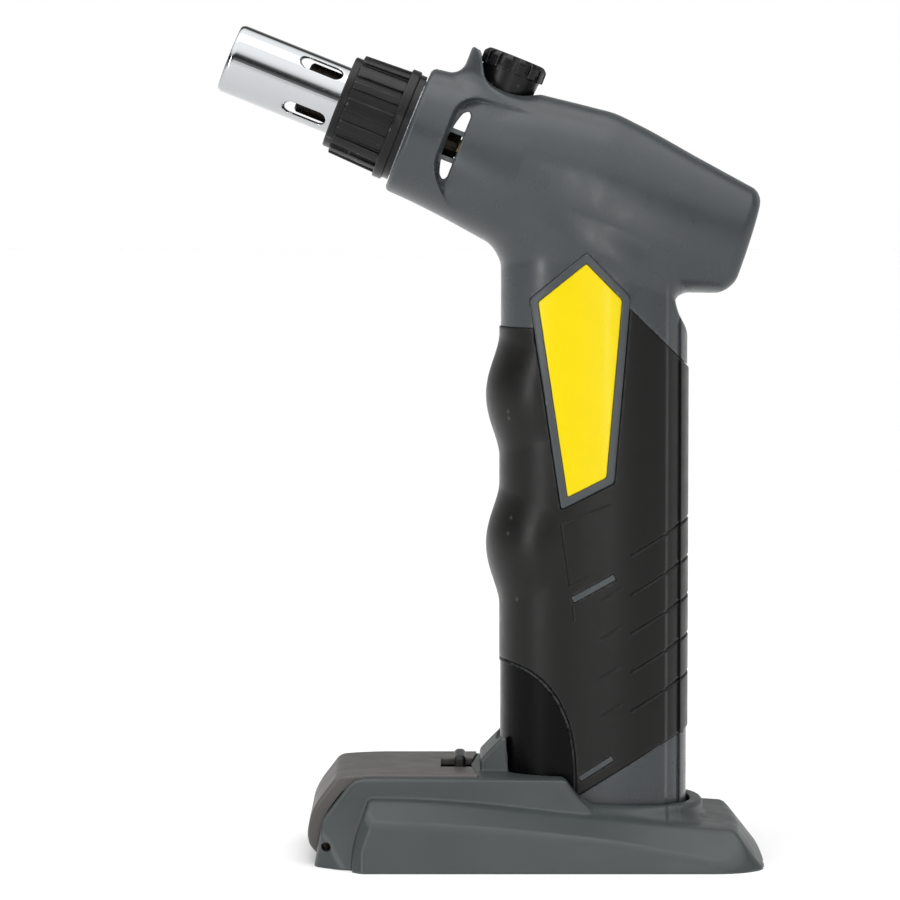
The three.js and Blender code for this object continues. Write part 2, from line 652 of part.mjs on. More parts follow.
function standPlate() {
  const clear = STAND_WALL + GAP;
  const plan = roundedPlan(STAND_FRONT + clear, STAND_REAR - clear - 1.4, STAND_HALF_WIDTH - clear - 1.4, 9);
  const plate = asSolid(prism(plan, 0, 1.8));
  const hole = [[0, -1], [2.9, -1], [2.9, 0.3], [1.5, 1.5], [1.5, 3], [0, 3]];
  return STAND_SCREW_PLACES.reduce(
    (sum, [x, y]) => sum.subtract(asSolid(turned(hole, 12).translate(x, y, 0))),
    plate,
  );
}

function standScrew([x, y]) {
  return asSolid(turned([[0, 0.3], [2.5, 0.3], [2.5, 0.5], [1.2, 1.6], [1.2, 5], [0, 5.4]], 12))
    .subtract(asSolid(box(-1.8, 1.8, -0.3, 0.3, 0, 0.8))).translate([x, y, 0]);
}

// The lid's outer line, seen from the side, from the foot of its front face to its rear edge.
const LID_OUTER = [
  [-43.6, 2.6], [-45.4, 4], [-46.4, 6.7], [-46.2, 10], [-45, 14], [-39.6, 21], [-38, 22.2], [-35.6, LID_TOP],
  [LID_REAR, LID_TOP],
];
const LID_INNER = [
  [LID_REAR, LID_TOP - LID_WALL], [-35.2, LID_TOP - LID_WALL], [-37.6, 20], [-43.4, 13], [-44.4, 9.6],
  [-44.6, 6.9], [-43.6, 5],
];

// The window that the latch slides in.
const LATCH_WINDOW = { x0: -12.6, x1: -5.1, halfWidth: 7.8 };
const LATCH_PLATE = { top: LID_TOP - LID_WALL - GAP, bottom: LID_TOP - LID_WALL - GAP - 1.2 };
const RAIL_BOTTOM = LATCH_PLATE.bottom - 0.9;

function standLid() {
  const skin = asSolid(slab([...LID_OUTER, ...LID_INNER], -LID_HALF_WIDTH, LID_HALF_WIDTH));
  const lugs = [-1, 1].map((side) => {
    const y = side * (LID_HALF_WIDTH - 1.6);
    const [y0, y1] = [y - 1.6, y + 1.6];
    const eye = asSolid(crossRod(2.9, PIN.x, PIN.z, y0, y1));
    const web = asSolid(slab([[-45, 4.4], [-45.6, 10], [-43, 13], [-39.4, 8]], y0, y1));
    return eye.add(web);
  });
  const { x0, x1, halfWidth } = LATCH_WINDOW;
  const rails = [-1, 1].map((side) => {
    const near = side * 9.4;
    const far = side * 10.8;
    const wall = asSolid(box(-17, -4.4, Math.min(near, far), Math.max(near, far), RAIL_BOTTOM, LID_TOP - 1));
    const lip = asSolid(box(
      -17, -4.4, Math.min(side * 8, side * 10), Math.max(side * 8, side * 10), RAIL_BOTTOM, RAIL_BOTTOM + 0.6,
    ));
    return wall.add(lip);
  });
  return skin.add(lugs[0]).add(lugs[1]).add(rails[0]).add(rails[1])
    .subtract(asSolid(box(x0, x1, -halfWidth, halfWidth, 15, 30)))
    .subtract(asSolid(crossRod(PIN.radius + 0.2, PIN.x, PIN.z, -40, 40)));
}

function latchSlider() {
  const plate = asSolid(box(-16.4, -4.6, -9, 9, LATCH_PLATE.bottom, LATCH_PLATE.top));
  const grip = asSolid(box(-9.2, -6.2, -7.2, 7.2, LATCH_PLATE.top - 0.2, LID_TOP + 1.5));
  const ridge = asSolid(new THREE.CylinderGeometry(1.5, 1.5, 14.4, 16).translate(-7.7, 0, LID_TOP + 1.2));
  return plate.add(grip).add(ridge);
}

// ---------- assembly ----------

const torch = new THREE.Group();

function addPiece(parent, name, shape, material) {
  const geometry = shape instanceof THREE.BufferGeometry ? shape : asGeometry(shape);
  const mesh = new THREE.Mesh(geometry, material);
  mesh.name = name;
  parent.add(mesh);
  return mesh;
}

const shells = shellBody();
const grips = gripBody();
for (const [name, side] of [['left', -1], ['right', 1]]) {
  addPiece(torch, `${name}_shell`, half(shells, side), plastic(SHELL_GREY));
  addPiece(torch, `${name}_grip`, half(grips, side), plastic(RUBBER, 0.75));
  addPiece(torch, `${name}_badge_frame`, badgeFrame(side), plastic(SHELL_GREY, 0.4));
  addPiece(torch, `${name}_badge_insert`, badgeInsert(side), plastic(YELLOW, 0.25));
}
addPiece(torch, 'warning_panel', panelBody(), plastic(BLACK, 0.35));
SCREW_PLACES.forEach((place, i) => {
  addPiece(torch, `shell_screw_${i + 1}`, shellScrew(place), metal(STEEL));
});

addPiece(torch, 'fuel_tank', fuelTank(), plastic(0xdfe3e0, 0.3));
addPiece(torch, 'refill_valve', refillValve(), metal(BRASS));
addPiece(torch, 'refill_seal', ring(4.2, 3.1, 5.4, 6.9, 20).translate(HANDLE_X, 0, 0), SEAL_RUBBER);
addPiece(torch, 'tank_fitting', tankFitting(), metal(BRASS));
const wick = rod(1.8, 24, TANK_TOP - 6.4, 10).translate(HANDLE_X, 0, 0);
addPiece(torch, 'tank_wick', wick, plastic(0xf2efe4, 0.9));
addPiece(torch, 'gas_tube', tubeAlong(GAS_TUBE_ROUTE, 1.2, 26, 7), plastic(0x3b3d3f, 0.5));
addPiece(torch, 'lever_pin', crossRod(1.3, LEVER_PIVOT.x, LEVER_PIVOT.z, -8.2, 8.2, 14), metal(STEEL));
addPiece(torch, 'ignition_lever', ignitionLever(), plastic(0xd8d4c8, 0.5));
addPiece(torch, 'piezo_igniter', piezoBody(), plastic(0x1f3f7a, 0.4));
addPiece(torch, 'piezo_cap', box(PIEZO_X - 3.2, PIEZO_X + 3.2, -3.2, 3.2, CAP_BOTTOM, CAP_BOTTOM + 7.4),
  plastic(BLACK, 0.5));

const head = new THREE.Group();
head.position.set(HANDLE_X, 0, HEAD_CENTRE_Z);
head.rotation.y = BURNER_TILT - Math.PI / 2;
torch.add(head);
addPiece(head, 'valve_body', valveBody(), metal(BRASS));
addPiece(head, 'jet_pipe', ring(3.6, 2.7, JET_PIPE_ROOT, JET_PIPE_TIP, 20), metal(0x3a3632, 0.5));
addPiece(head, 'gas_jet', turned(JET_PROFILE, 16), metal(BRASS));
addPiece(head, 'burner_holder', turned(HOLDER_PROFILE, 28), metal(STEEL, 0.5));
addPiece(head, 'mixing_tube', ring(4.2, 3.4, MIXING_TUBE_ROOT, NOZZLE_ROOT + 1.7, 20), metal(STEEL, 0.4));
addPiece(head, 'burner_nozzle', burnerNozzle(), metal(0x57504a, 0.5));
addPiece(head, 'burner_tube', burnerTube(), metal(CHROME, 0.08));
addPiece(head, 'air_collar', airCollar(), plastic(BLACK, 0.45));
addPiece(head, 'collar_seal', ring(10.9, 10.5, 56, 57.5, 24), SEAL_RUBBER);

const knobGroup = new THREE.Group();
knobGroup.position.z = KNOB_ALONG;
knobGroup.rotation.y = Math.PI / 2;
head.add(knobGroup);
addPiece(knobGroup, 'control_knob', controlKnob(), plastic(BLACK, 0.4));
addPiece(knobGroup, 'plunger', plunger(), plastic(BLACK, 0.5));
addPiece(knobGroup, 'return_spring', returnSpring(), metal(STEEL));

addPiece(torch, 'stand_body', standBody(), plastic(SHELL_GREY));
addPiece(torch, 'stand_plate', standPlate(), plastic(0x3f4344, 0.6));
STAND_SCREW_PLACES.forEach((place, i) => {
  addPiece(torch, `stand_screw_${i + 1}`, standScrew(place), metal(STEEL));
});
const hingePin = crossRod(PIN.radius, PIN.x, PIN.z, -PIN.reach, PIN.reach, 16);
addPiece(torch, 'lid_hinge_pin', hingePin, metal(DARK_METAL));
addPiece(torch, 'stand_lid', standLid(), plastic(LID_GREY));
addPiece(torch, 'latch_slider', latchSlider(), plastic(BLACK, 0.5));

export default torch;
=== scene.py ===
"""The looks of a refillable butane hand torch standing in its detachable base.

Each moulded piece is a closed form, given by a signed distance in the frame's millimetres and meshed
with its sharp edges kept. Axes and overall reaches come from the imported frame. Outlines, cut-outs and
rounds are set here.
"""
import json
import math

import bpy
import numpy as np
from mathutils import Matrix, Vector


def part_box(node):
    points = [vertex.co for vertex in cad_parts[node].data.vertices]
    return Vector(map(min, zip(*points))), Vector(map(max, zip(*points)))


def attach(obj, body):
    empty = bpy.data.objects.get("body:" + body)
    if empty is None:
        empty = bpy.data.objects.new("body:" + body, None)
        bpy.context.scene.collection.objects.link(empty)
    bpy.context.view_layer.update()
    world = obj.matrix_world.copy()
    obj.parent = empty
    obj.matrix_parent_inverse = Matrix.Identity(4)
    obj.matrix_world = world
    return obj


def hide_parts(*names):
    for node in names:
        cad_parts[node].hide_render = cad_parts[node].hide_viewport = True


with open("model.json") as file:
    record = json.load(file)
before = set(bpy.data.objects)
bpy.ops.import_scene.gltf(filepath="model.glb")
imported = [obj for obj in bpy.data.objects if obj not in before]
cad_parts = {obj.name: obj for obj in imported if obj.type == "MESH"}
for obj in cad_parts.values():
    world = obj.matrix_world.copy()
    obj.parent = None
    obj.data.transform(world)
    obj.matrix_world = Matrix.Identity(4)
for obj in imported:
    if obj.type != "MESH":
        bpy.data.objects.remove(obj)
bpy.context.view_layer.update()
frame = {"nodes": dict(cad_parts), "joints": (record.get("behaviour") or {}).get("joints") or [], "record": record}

MM = 0.001
joints = {joint["name"]: joint for joint in frame["joints"]}


# ---------- places in the frame, in millimetres ----------

def corners(node):
    low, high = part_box(node)
    return np.array(low) / MM, np.array(high) / MM


BURNER = np.array(joints["collar_turn"]["axis"])
KNOB_UP = np.array(joints["knob_turn"]["axis"])
HEAD = np.array(joints["collar_turn"]["pos_m"]) / MM
KNOB_ALONG = float((np.array(joints["knob_turn"]["pos_m"]) / MM - HEAD) @ BURNER)
PIN = np.array(joints["lid_open"]["pos_m"]) / MM


def span(node, axis):
    """The lowest and highest reach of a node along an axis, from the head's centre."""
    reach = (np.array([v.co for v in frame["nodes"][node].data.vertices]) / MM - HEAD) @ axis
    return float(reach.min()), float(reach.max())


TUBE_ROOT, TUBE_TIP = span("burner_tube", BURNER)
COLLAR_REAR, COLLAR_FRONT = span("air_collar", BURNER)
HEAD_FRONT = COLLAR_REAR - 1
KNOB_BOTTOM, KNOB_TOP = span("control_knob", KNOB_UP)

grip_low, grip_high = corners("left_grip")
HANDLE_X = HEAD[0]
HANDLE_DEPTH = grip_high[0] - HANDLE_X
HANDLE_WIDTH = -grip_low[1]
HANDLE_POWER = 2.5
HANDLE_BOTTOM = corners("left_shell")[0][2]

stand_high = corners("stand_body")[1]
lid_high = corners("stand_lid")[1]
latch_low, latch_high = corners("latch_slider")


# ---------- signed distances ----------

def clamp01(t):
    return np.clip(t, 0, 1)


def ramp(value, start, end):
    """0 before start, 1 after end, smooth between them."""
    t = clamp01((value - start) / (end - start))
    return t * t * (3 - 2 * t)


def curve(points):
    """A smooth line through a few points, as a function of the first number."""
    xs, ys = np.array(points, float).T
    slopes = np.gradient(ys, xs)
    fine = np.linspace(xs[0], xs[-1], 300)
    i = np.clip(np.searchsorted(xs, fine) - 1, 0, len(xs) - 2)
    width = xs[i + 1] - xs[i]
    t = (fine - xs[i]) / width
    line = (
        (2 * t ** 3 - 3 * t ** 2 + 1) * ys[i] + (t ** 3 - 2 * t ** 2 + t) * width * slopes[i]
        + (3 * t ** 2 - 2 * t ** 3) * ys[i + 1] + (t ** 3 - t ** 2) * width * slopes[i + 1]
    )
    return lambda value: np.interp(value, fine, line)


def both(a, b, radius=0.0):
    """Inside both forms, with a rounded edge where they cross."""
    if np.ndim(radius) == 0 and radius == 0:
        return np.maximum(a, b)
    edge = np.hypot(np.maximum(radius + a, 0), np.maximum(radius + b, 0))
    return np.minimum(-radius, np.maximum(a, b)) + edge


def either(a, b, radius=0.0):
    """Inside one or the other form, with a fillet where they meet."""
    return -both(-a, -b, radius)


def without(a, b, radius=0.0):
    return both(a, -b, radius)


def oval(p, q, a, b, power):
    """A rounded oval of half axes a and b, to first order."""
    s, t = np.abs(p) / a, np.abs(q) / b
    total = np.maximum(s ** power + t ** power, 1e-9)
    reach = total ** (1 / power)
    slope = reach / total * np.hypot(s ** (power - 1) / a, t ** (power - 1) / b)
    return (reach - 1) / np.maximum(slope, 1e-6)


def ball(dx, dy, dz, radii):
    size = np.sqrt((dx / radii[0]) ** 2 + (dy / radii[1]) ** 2 + (dz / radii[2]) ** 2)
    return (size - 1) * min(radii)


def block(x, y, z, low, high, radius=0.0):
    """A box between two corners, with rounded edges."""
    form = None
    for value, near, far in zip((x, y, z), low, high):
        side = np.abs(value - (near + far) / 2) - (far - near) / 2
        form = side if form is None else both(form, side, radius)
    return form


def polygon(p, q, points, radius=0.0, grow=0.0):
    """A convex outline in two coordinates, its points in order round it."""
    middle = np.mean(points, axis=0)
    form = None
    for (p0, q0), (p1, q1) in zip(points, points[1:] + points[:1]):
        length = math.hypot(p1 - p0, q1 - q0)
        normal = ((q1 - q0) / length, (p0 - p1) / length)
        if (p0 - middle[0]) * normal[0] + (q0 - middle[1]) * normal[1] < 0:
            normal = (-normal[0], -normal[1])
        side = (p - p0) * normal[0] + (q - q0) * normal[1] - grow
        form = side if form is None else both(form, side, radius)
    return form


def half_plane(p, q, start, end):
    """Negative to the right of the line from start to end."""
    length = math.hypot(end[0] - start[0], end[1] - start[1])
    return ((q - start[1]) * (end[0] - start[0]) - (p - start[0]) * (end[1] - start[1])) / length


# ---------- meshing ----------

SLOPE_REACH = 0.03  # half of the distance that a slope is measured over
SEARCH_ROUNDS = 3  # rounds of narrowing in on a crossing
CENTRE_PULL = 0.03  # how strongly a vertex is held to the middle of its cell's crossings
INWARD_SHARE = 0.25  # how far a corner moves to its face's middle before its normal is taken


def gradient(field, points):
    """The field's direction of growth at each point."""
    parts = []
    for axis in range(3):
        shift = np.zeros(3)
        shift[axis] = SLOPE_REACH
        ahead, behind = points + shift, points - shift
        parts.append(field(*ahead.T) - field(*behind.T))
    normals = np.stack(parts, 1)
    return normals / np.maximum(np.linalg.norm(normals, axis=1, keepdims=True), 1e-9)


def crossings(field, values, origin, step, axis):
    """Where the surface crosses the grid's edges along one axis."""
    ahead = np.moveaxis(values, axis, 0)
    first, second = np.moveaxis(ahead[:-1], 0, axis), np.moveaxis(ahead[1:], 0, axis)
    cells = np.argwhere((first < 0) != (second < 0))
    others = [(axis + 1) % 3, (axis + 2) % 3]
    last = np.array(values.shape)[others] - 1
    cells = cells[np.all((cells[:, others] > 0) & (cells[:, others] < last), axis=1)]
    a, b = first[tuple(cells.T)].astype(float), second[tuple(cells.T)].astype(float)
    inside_first = a < 0
    low, high = np.zeros(len(a)), np.ones(len(a))
    for _ in range(SEARCH_ROUNDS):
        t = low + (high - low) * np.clip(a / (a - b), 0.05, 0.95)
        points = origin + step * cells
        points[:, axis] += step * t
        value = field(*points.T)
        same = (value < 0) == inside_first
        low, a = np.where(same, t, low), np.where(same, value, a)
        high, b = np.where(same, high, t), np.where(same, b, value)
    points[:, axis] = origin[axis] + step * (cells[:, axis] + low + (high - low) * a / (a - b))
    return cells, points, inside_first


def surface(field, low, high, step):
    """Vertices and four-sided faces of a closed form, with one vertex in each cell that it passes."""
    origin = np.array(low, float) - 1.5 * step
    size = np.ceil((np.array(high) - origin) / step).astype(int) + 3
    grid = [origin[i] + step * np.arange(size[i]) for i in range(3)]
    values = field(grid[0][:, None, None], grid[1][None, :, None], grid[2][None, None, :])
    values = np.broadcast_to(values, size).astype(np.float32)
    strides = np.array([size[1] * size[2], size[2], 1])
    faces, owners, points, normals = [], [], [], []
    for axis in range(3):
        cells, hits, inside_first = crossings(field, values, origin, step, axis)
        lean = gradient(field, hits)
        beside, above = np.eye(3, dtype=int)[(axis + 1) % 3], np.eye(3, dtype=int)[(axis + 2) % 3]
        around = [cells, cells - beside, cells - beside - above, cells - above]
        quad = np.stack([c @ strides for c in around], 1)
        faces.append(np.where(inside_first[:, None], quad, quad[:, ::-1]))
        owners.append(quad.ravel())
        points.append(np.repeat(hits, 4, 0))
        normals.append(np.repeat(lean, 4, 0))
    faces, owners = np.concatenate(faces), np.concatenate(owners)
    points, normals = np.concatenate(points), np.concatenate(normals)
    used, index = np.unique(owners, return_inverse=True)
    count = np.bincount(index)
    middle = np.stack([np.bincount(index, points[:, i]) for i in range(3)], 1) / count[:, None]
    away = np.einsum("ij,ij->i", normals, points - middle[index])
    pull = np.stack([np.bincount(index, normals[:, i] * away) for i in range(3)], 1)
    spread = np.stack(
        [[np.bincount(index, normals[:, i] * normals[:, j]) for j in range(3)] for i in range(3)]
    ).transpose(2, 0, 1)
    spread = spread + CENTRE_PULL * count[:, None, None] * np.eye(3)
    vertices = middle + np.linalg.solve(spread, pull[:, :, None])[:, :, 0]
    cell = origin + step * np.stack(np.unravel_index(used, size), 1)
    vertices = np.clip(vertices, cell, cell + step)
    return vertices, np.searchsorted(used, faces)


def smooth_corners(field, vertices, faces):
    """The form's own normals at the faces' corners, taken just inside each face."""
    shape = vertices[faces]
    inner = shape + INWARD_SHARE * (shape.mean(1, keepdims=True) - shape)
    return gradient(field, inner.reshape(-1, 3))


def moulded(name, body, slot, field, low, high, step, place=None, replaces=()):
    """Meshes a field as a piece that rides on a body. place carries the field's own axes to the frame."""
    vertices, faces = surface(field, low, high, step)
    corner_normals = smooth_corners(field, vertices, faces)
    if place is not None:
        turn, shift = place
        vertices, corner_normals = vertices @ turn.T + shift, corner_normals @ turn.T
    mesh = bpy.data.meshes.new(name)
    mesh.vertices.add(len(vertices))
    mesh.vertices.foreach_set("co", (vertices * MM).ravel())
    mesh.loops.add(faces.size)
    mesh.loops.foreach_set("vertex_index", faces.ravel().astype(np.int32))
    mesh.polygons.add(len(faces))
    mesh.polygons.foreach_set("loop_start", np.arange(0, faces.size, 4, dtype=np.int32))
    mesh.update(calc_edges=True)
    mesh.shade_smooth()
    mesh.normals_split_custom_set(corner_normals.tolist())
    piece = bpy.data.objects.new(name, mesh)
    bpy.context.scene.collection.objects.link(piece)
    mesh.materials.append(finish(slot))
    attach(piece, body)
    if replaces:
        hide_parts(*replaces)
    return piece


# ---------- the torch's form ----------

SKIN_GAP = 0.15  # half of the seam between the two halves
SEAM_TONGUE = 0.27  # how far the right half reaches across the seam, under its surface
WALL = 2.0
GRIP_THICKNESS = 1.3
SHELL_BELOW_GRIP = 0.4
SEAT_DEPTH = 1.6

CHANNEL_DEPTH = 0.55
CHANNEL_FRONT = (43.9, 44.9)
CHANNEL_REAR = (47.7, 48.2)
COLUMN_TOP = -4
COLUMN_ROUND = 8
COLUMN_HOLLOW_TOP = 166
NECK_SLOPE = ((50.7, 133.3), (46.9, 138.6))
NECK_X = 46.4
NECK_FILLET = 2.5

HEAD_REAR = (65.6, 156.5)  # the middle of the head's rear face, in X and Z
HEAD_REAR_FACING = (0.9534, -0.3017)
HEAD_REAR_BULGE = 0.7
HEAD_REAR_REACH = 16
HEAD_UNDERSIDE = 143.3
HEAD_FILLET = 4.2

GUARD_RADIUS = 11.5
GUARD_FILLET = 3.2
RECESS_RADIUS = 8.8
RECESS_FLOOR = 10.2
RECESS_WALL = 1.6
STEM_HOLE = 7.4
SPIGOT_BORE = 13.4
SPIGOT_DEPTH = 4
TANK_PORT = 4.5

LIP = 42
LIP_CORNER = 6
LIP_SLANT_START = -3
SCOOP_DEPTH = 2.3
SCOOP_TOP = 13.6
SCOOP_FLOOR = (-15, -8.5)
SCOOP_REAR = 21
SCOOP_LENGTH = 17
VENT_FRONT = 40.8
VENT_REAR = 37.2
VENT_TOP = 9.8
VENT_BOTTOM = -8.9
VENT_MIDDLE = 0.6
VENT_BOW = 0.022
VENT_ROUND = 1.5
RIB_HEIGHTS = (3.8, -3.4)
RIB_HALF_THICKNESS = 0.6
RIB_BACK = 2.4
RIB_ROUND_RADIUS = 17.4

SCREW_HOLE = 1.5
SCREW_TIP_Y = -9
COUNTERBORE = 3
SCREW_BOSS = 3.2
SCREW_HEAD_DEPTH = 2


def in_head(x, z):
    """Distance forward along the burner's axis, and height above it."""
    dx, dz = x - HEAD[0], z - HEAD[2]
    return dx * BURNER[0] + dz * BURNER[2], dx * KNOB_UP[0] + dz * KNOB_UP[2]


def handle(x, y, offset=0.0):
    """The handle's column, with a shallow channel down each side of its spine."""
    channel = CHANNEL_DEPTH * (ramp(x, *CHANNEL_FRONT) - ramp(x, *CHANNEL_REAR))
    return oval(x - HANDLE_X, y, HANDLE_DEPTH, HANDLE_WIDTH, HANDLE_POWER) + channel - offset


# The head's outline and its section's squareness, against the distance forward along the burner's axis.
head_top = curve([
    (-46, 17.4), (-36.8, 18.5), (-20, 20.5), (-3, 22.6), (4, 23), (9, 22.4), (22, 20.6), (45, 17.4),
    (54, 16),
])
head_bottom = curve([
    (-46, -13), (-36, -15), (-20, -18.5), (0, -21.5), (12, -20.6), (22, -19.2), (43, -16.9), (54, -16.4),
])
head_width = curve([
    (-46, 14.2), (-36, 16.2), (-20, 18.2), (0, 19.4), (10, 19.4), (22, 18.9), (45, 17), (54, 16.2),
])
head_power = curve([(-46, 2.5), (-10, 2.3), (20, 2.15), (46, 2), (54, 2)])
guard_rim = curve([
    (20, 15), (33, 16.6), (35.5, 17.4), (37.5, 19), (39.6, 22.4), (41, 24.8), (42, 25.2), (50, 25.2),
])


def head_form(x, y, z, inset=0.0):
    along, height = in_head(x, z)
    top, bottom = head_top(along), head_bottom(along)
    middle, half_height = (top + bottom) / 2, (top - bottom) / 2
    form = oval(height - middle, y, half_height, head_width(along), head_power(along))
    form = both(form + inset, along - HEAD_FRONT + inset, 1.3)
    behind, above = x - HEAD_REAR[0], z - HEAD_REAR[1]
    rear = behind * HEAD_REAR_FACING[0] + above * HEAD_REAR_FACING[1]
    rear = rear + HEAD_REAR_BULGE * (y ** 2 + above ** 2) / HEAD_REAR_REACH ** 2
    form = both(form, rear + inset, 2.8)
    return both(form, HEAD_UNDERSIDE + inset - z, 4.6)


def neck(x, z):
    """The notch in the handle's rear, under the head."""
    return either(-half_plane(x, z, *NECK_SLOPE), x - NECK_X, NECK_FILLET)


def torch_form(x, y, z):
    """The torch without its grip: head, handle, the knob's guard and the scoops at the vents."""
    along, height = in_head(x, z)
    head = head_form(x, y, z)
    body = both(handle(x, y, -SHELL_BELOW_GRIP), neck(x, z), 1.2)
    body = both(body, height - COLUMN_TOP, COLUMN_ROUND)
    form = either(head, body, HEAD_FILLET)
    around_knob = np.hypot(along - KNOB_ALONG, y)
    guard = both(both(around_knob - GUARD_RADIUS, height - guard_rim(along), 0.9), -height)
    return either(form, guard, GUARD_FILLET) + scoop(along, height, y)


def scoop(along, height, y):
    """How far the side is pressed in behind the vents' front lip, fading to the rear."""
    ridge = SCOOP_TOP + 0.1 * (LIP - along)
    lip = LIP - 0.06 * np.maximum(LIP_SLANT_START - height, 0) ** 2
    outline = both(along - lip, height - ridge, LIP_CORNER)
    edge = 1 - ramp(outline, -1.2, 0.1)
    fade = clamp01((along - SCOOP_REAR) / SCOOP_LENGTH) ** 1.4
    return SCOOP_DEPTH * edge * fade * ramp(height, *SCOOP_FLOOR) * ramp(np.abs(y), 3, 7)


def vents(along, height, y):
    """Three openings in a bowed slot on each side, parted by two ribs that lie back from the surface."""
    front = VENT_FRONT - VENT_BOW * (height - VENT_MIDDLE) ** 2
    slot = both(along - front, VENT_REAR - along, 0.3)
    slot = both(slot, both(height - VENT_TOP, VENT_BOTTOM - height), VENT_ROUND)
    for rib in RIB_HEIGHTS:
        wall = np.abs(y) - math.sqrt(RIB_ROUND_RADIUS ** 2 - rib ** 2) + RIB_BACK
        slot = without(slot, both(np.abs(height - rib) - RIB_HALF_THICKNESS, wall, 0.3), 0.2)
    return slot


SCREWS = [corners(f"shell_screw_{i}") for i in (1, 2, 3, 4)]


def screw_places():
    """Each shell screw's place along X and Z, and the Y that its counterbore starts at."""
    for low, high in SCREWS:
        yield (low[0] + high[0]) / 2, (low[2] + high[2]) / 2, high[1] - SCREW_HEAD_DEPTH


def torch_hollow(x, y, z):
    """The space inside the two halves, less the recess's cup and the screws' bosses."""
    along, height = in_head(x, z)
    column = both(handle(x, y, -SEAT_DEPTH - WALL), neck(x, z) + WALL)
    column = both(column, both(z - COLUMN_HOLLOW_TOP, HANDLE_BOTTOM + WALL - z))
    hollow = either(head_form(x, y, z, WALL) + scoop(along, height, y), column)
    around_recess = np.hypot(along - KNOB_ALONG, y) - RECESS_RADIUS - RECESS_WALL
    hollow = without(hollow, both(around_recess, RECESS_FLOOR - RECESS_WALL - height))
    for px, pz, _ in screw_places():
        hollow = without(hollow, np.hypot(x - px, z - pz) - SCREW_BOSS)
    return hollow


# ---------- the grip, the panel and the badge, seen from the side ----------

BADGE = [(24, 153.8), (34.9, 142.7), (30.9, 96.1), (17.7, 89.4), (9.7, 142.2)]
BADGE_BORDER = 1.9
BADGE_BACK = 0.95
INSERT_BACK = 0.3
INSERT_GAP = 0.12
BADGE_PROUD = 0.55
INSERT_PROUD = 0.3
FAR_FROM_SEAM = 1  # keeps each side's badge and inlays off the centre plane
SEAM = 0.3
POCKET_DEPTH = 1.2

STRIPES = [((20.6, 66.5), (31.2, 72.3), 1.6), ((22.4, 21.1), (30.8, 26.5), 1.4)]
STRIPE_DEPTH = 1.1
INLAY_BACK = 0.95
BUMP_HEIGHTS = (117.2, 79.2)
BUMP_X = 11.9
BUMP_RADII = (12.4, 14.5, 12.4)
BUMP_FILLET = 6
GRIP_TOP = 134.7
GRIP_TOP_SLANT = ((34.4, 140), (50, 124.8))
GRIP_BOTTOM_SLANTS = (((23, 17.6), (42, 29.2)), ((42, 29.2), (50.5, 33)))
PANEL_MIDDLE_Z = 21
PANEL_HALF_LENGTH = 21.4
PANEL_HALF_HEIGHT = 29.3
PANEL_POWER = 2.3
PANEL_BOTTOM = 17.4
PANEL_RIM = 0.25

GROOVE_COUNT = 5
GROOVE_PITCH = 9.85
BADGE_UNDERLINE = [(30, 90.4), (17.7, 85.7), (19.9, 69.9), (24.5, 72.4)]


def panel_outline(x, z):
    """The rounded front corner that the warning panel fills."""
    return oval(x, z - PANEL_MIDDLE_Z, PANEL_HALF_LENGTH, PANEL_HALF_HEIGHT, PANEL_POWER)


def front_panel(x, z):
    return both(panel_outline(x, z), PANEL_BOTTOM - z)


def stripe(x, z, start, end, thickness, grow=0.0):
    """A straight bar between two points."""
    length = math.hypot(end[0] - start[0], end[1] - start[1])
    ux, uz = (end[0] - start[0]) / length, (end[1] - start[1]) / length
    ahead = (x - start[0]) * ux + (z - start[1]) * uz
    aside = (z - start[1]) * ux - (x - start[0]) * uz
    ends = np.abs(ahead - length / 2) - length / 2 - grow
    return both(ends, np.abs(aside) - thickness / 2 - grow, 0.3)


def grip_outline(x, z):
    """The rubber's edge: square above the front, slanting above the rear and below, and round the panel."""
    top_front = both(z - GRIP_TOP, x - 29)
    top_rear = both(half_plane(x, z, *GRIP_TOP_SLANT), 26 - x)
    top = np.minimum(top_front, top_rear)
    bottom_front, bottom_rear = [-half_plane(x, z, *slant) for slant in GRIP_BOTTOM_SLANTS]
    side = both(-panel_outline(x, z) + SEAM, np.minimum(bottom_front, bottom_rear), 1.0)
    return both(top, side, 0.4)


def line_mark(x, z, start, end, width):
    """1 on a line between two points, falling to 0 at its sides and ends."""
    return 1 - ramp(stripe(x, z, start, end, 0.0), 0.0, width)


def grooves(x, z):
    """Slanted grooves that cut the rear of the grip, and the fine outline below the badge."""
    marks = [((20.6, 65), (21.1, 61), 0.25, 0.45)]
    marks += [(start, end, 0.25, 0.45) for start, end in zip(BADGE_UNDERLINE, BADGE_UNDERLINE[1:])]
    for i in range(GROOVE_COUNT):
        drop = GROOVE_PITCH * i
        marks.append(((35.4, 77.6 - drop), (52, 87.4 - drop), 0.42, 0.55))
    for i in range(GROOVE_COUNT - 1):
        drop = GROOVE_PITCH * i
        marks.append(((27.6, 66.4 - drop), (33, 69.6 - drop), 0.2, 0.45))
    depth = 0.0
    for start, end, mark_depth, width in marks:
        depth = np.maximum(depth, mark_depth * line_mark(x, z, start, end, width))
    return depth


def badge_pocket(x, y, z, gap):
    """Space for the badge under the handle's surface, with a gap round it."""
    return both(polygon(x, z, BADGE, 0.8, gap), -handle(x, y, -POCKET_DEPTH))


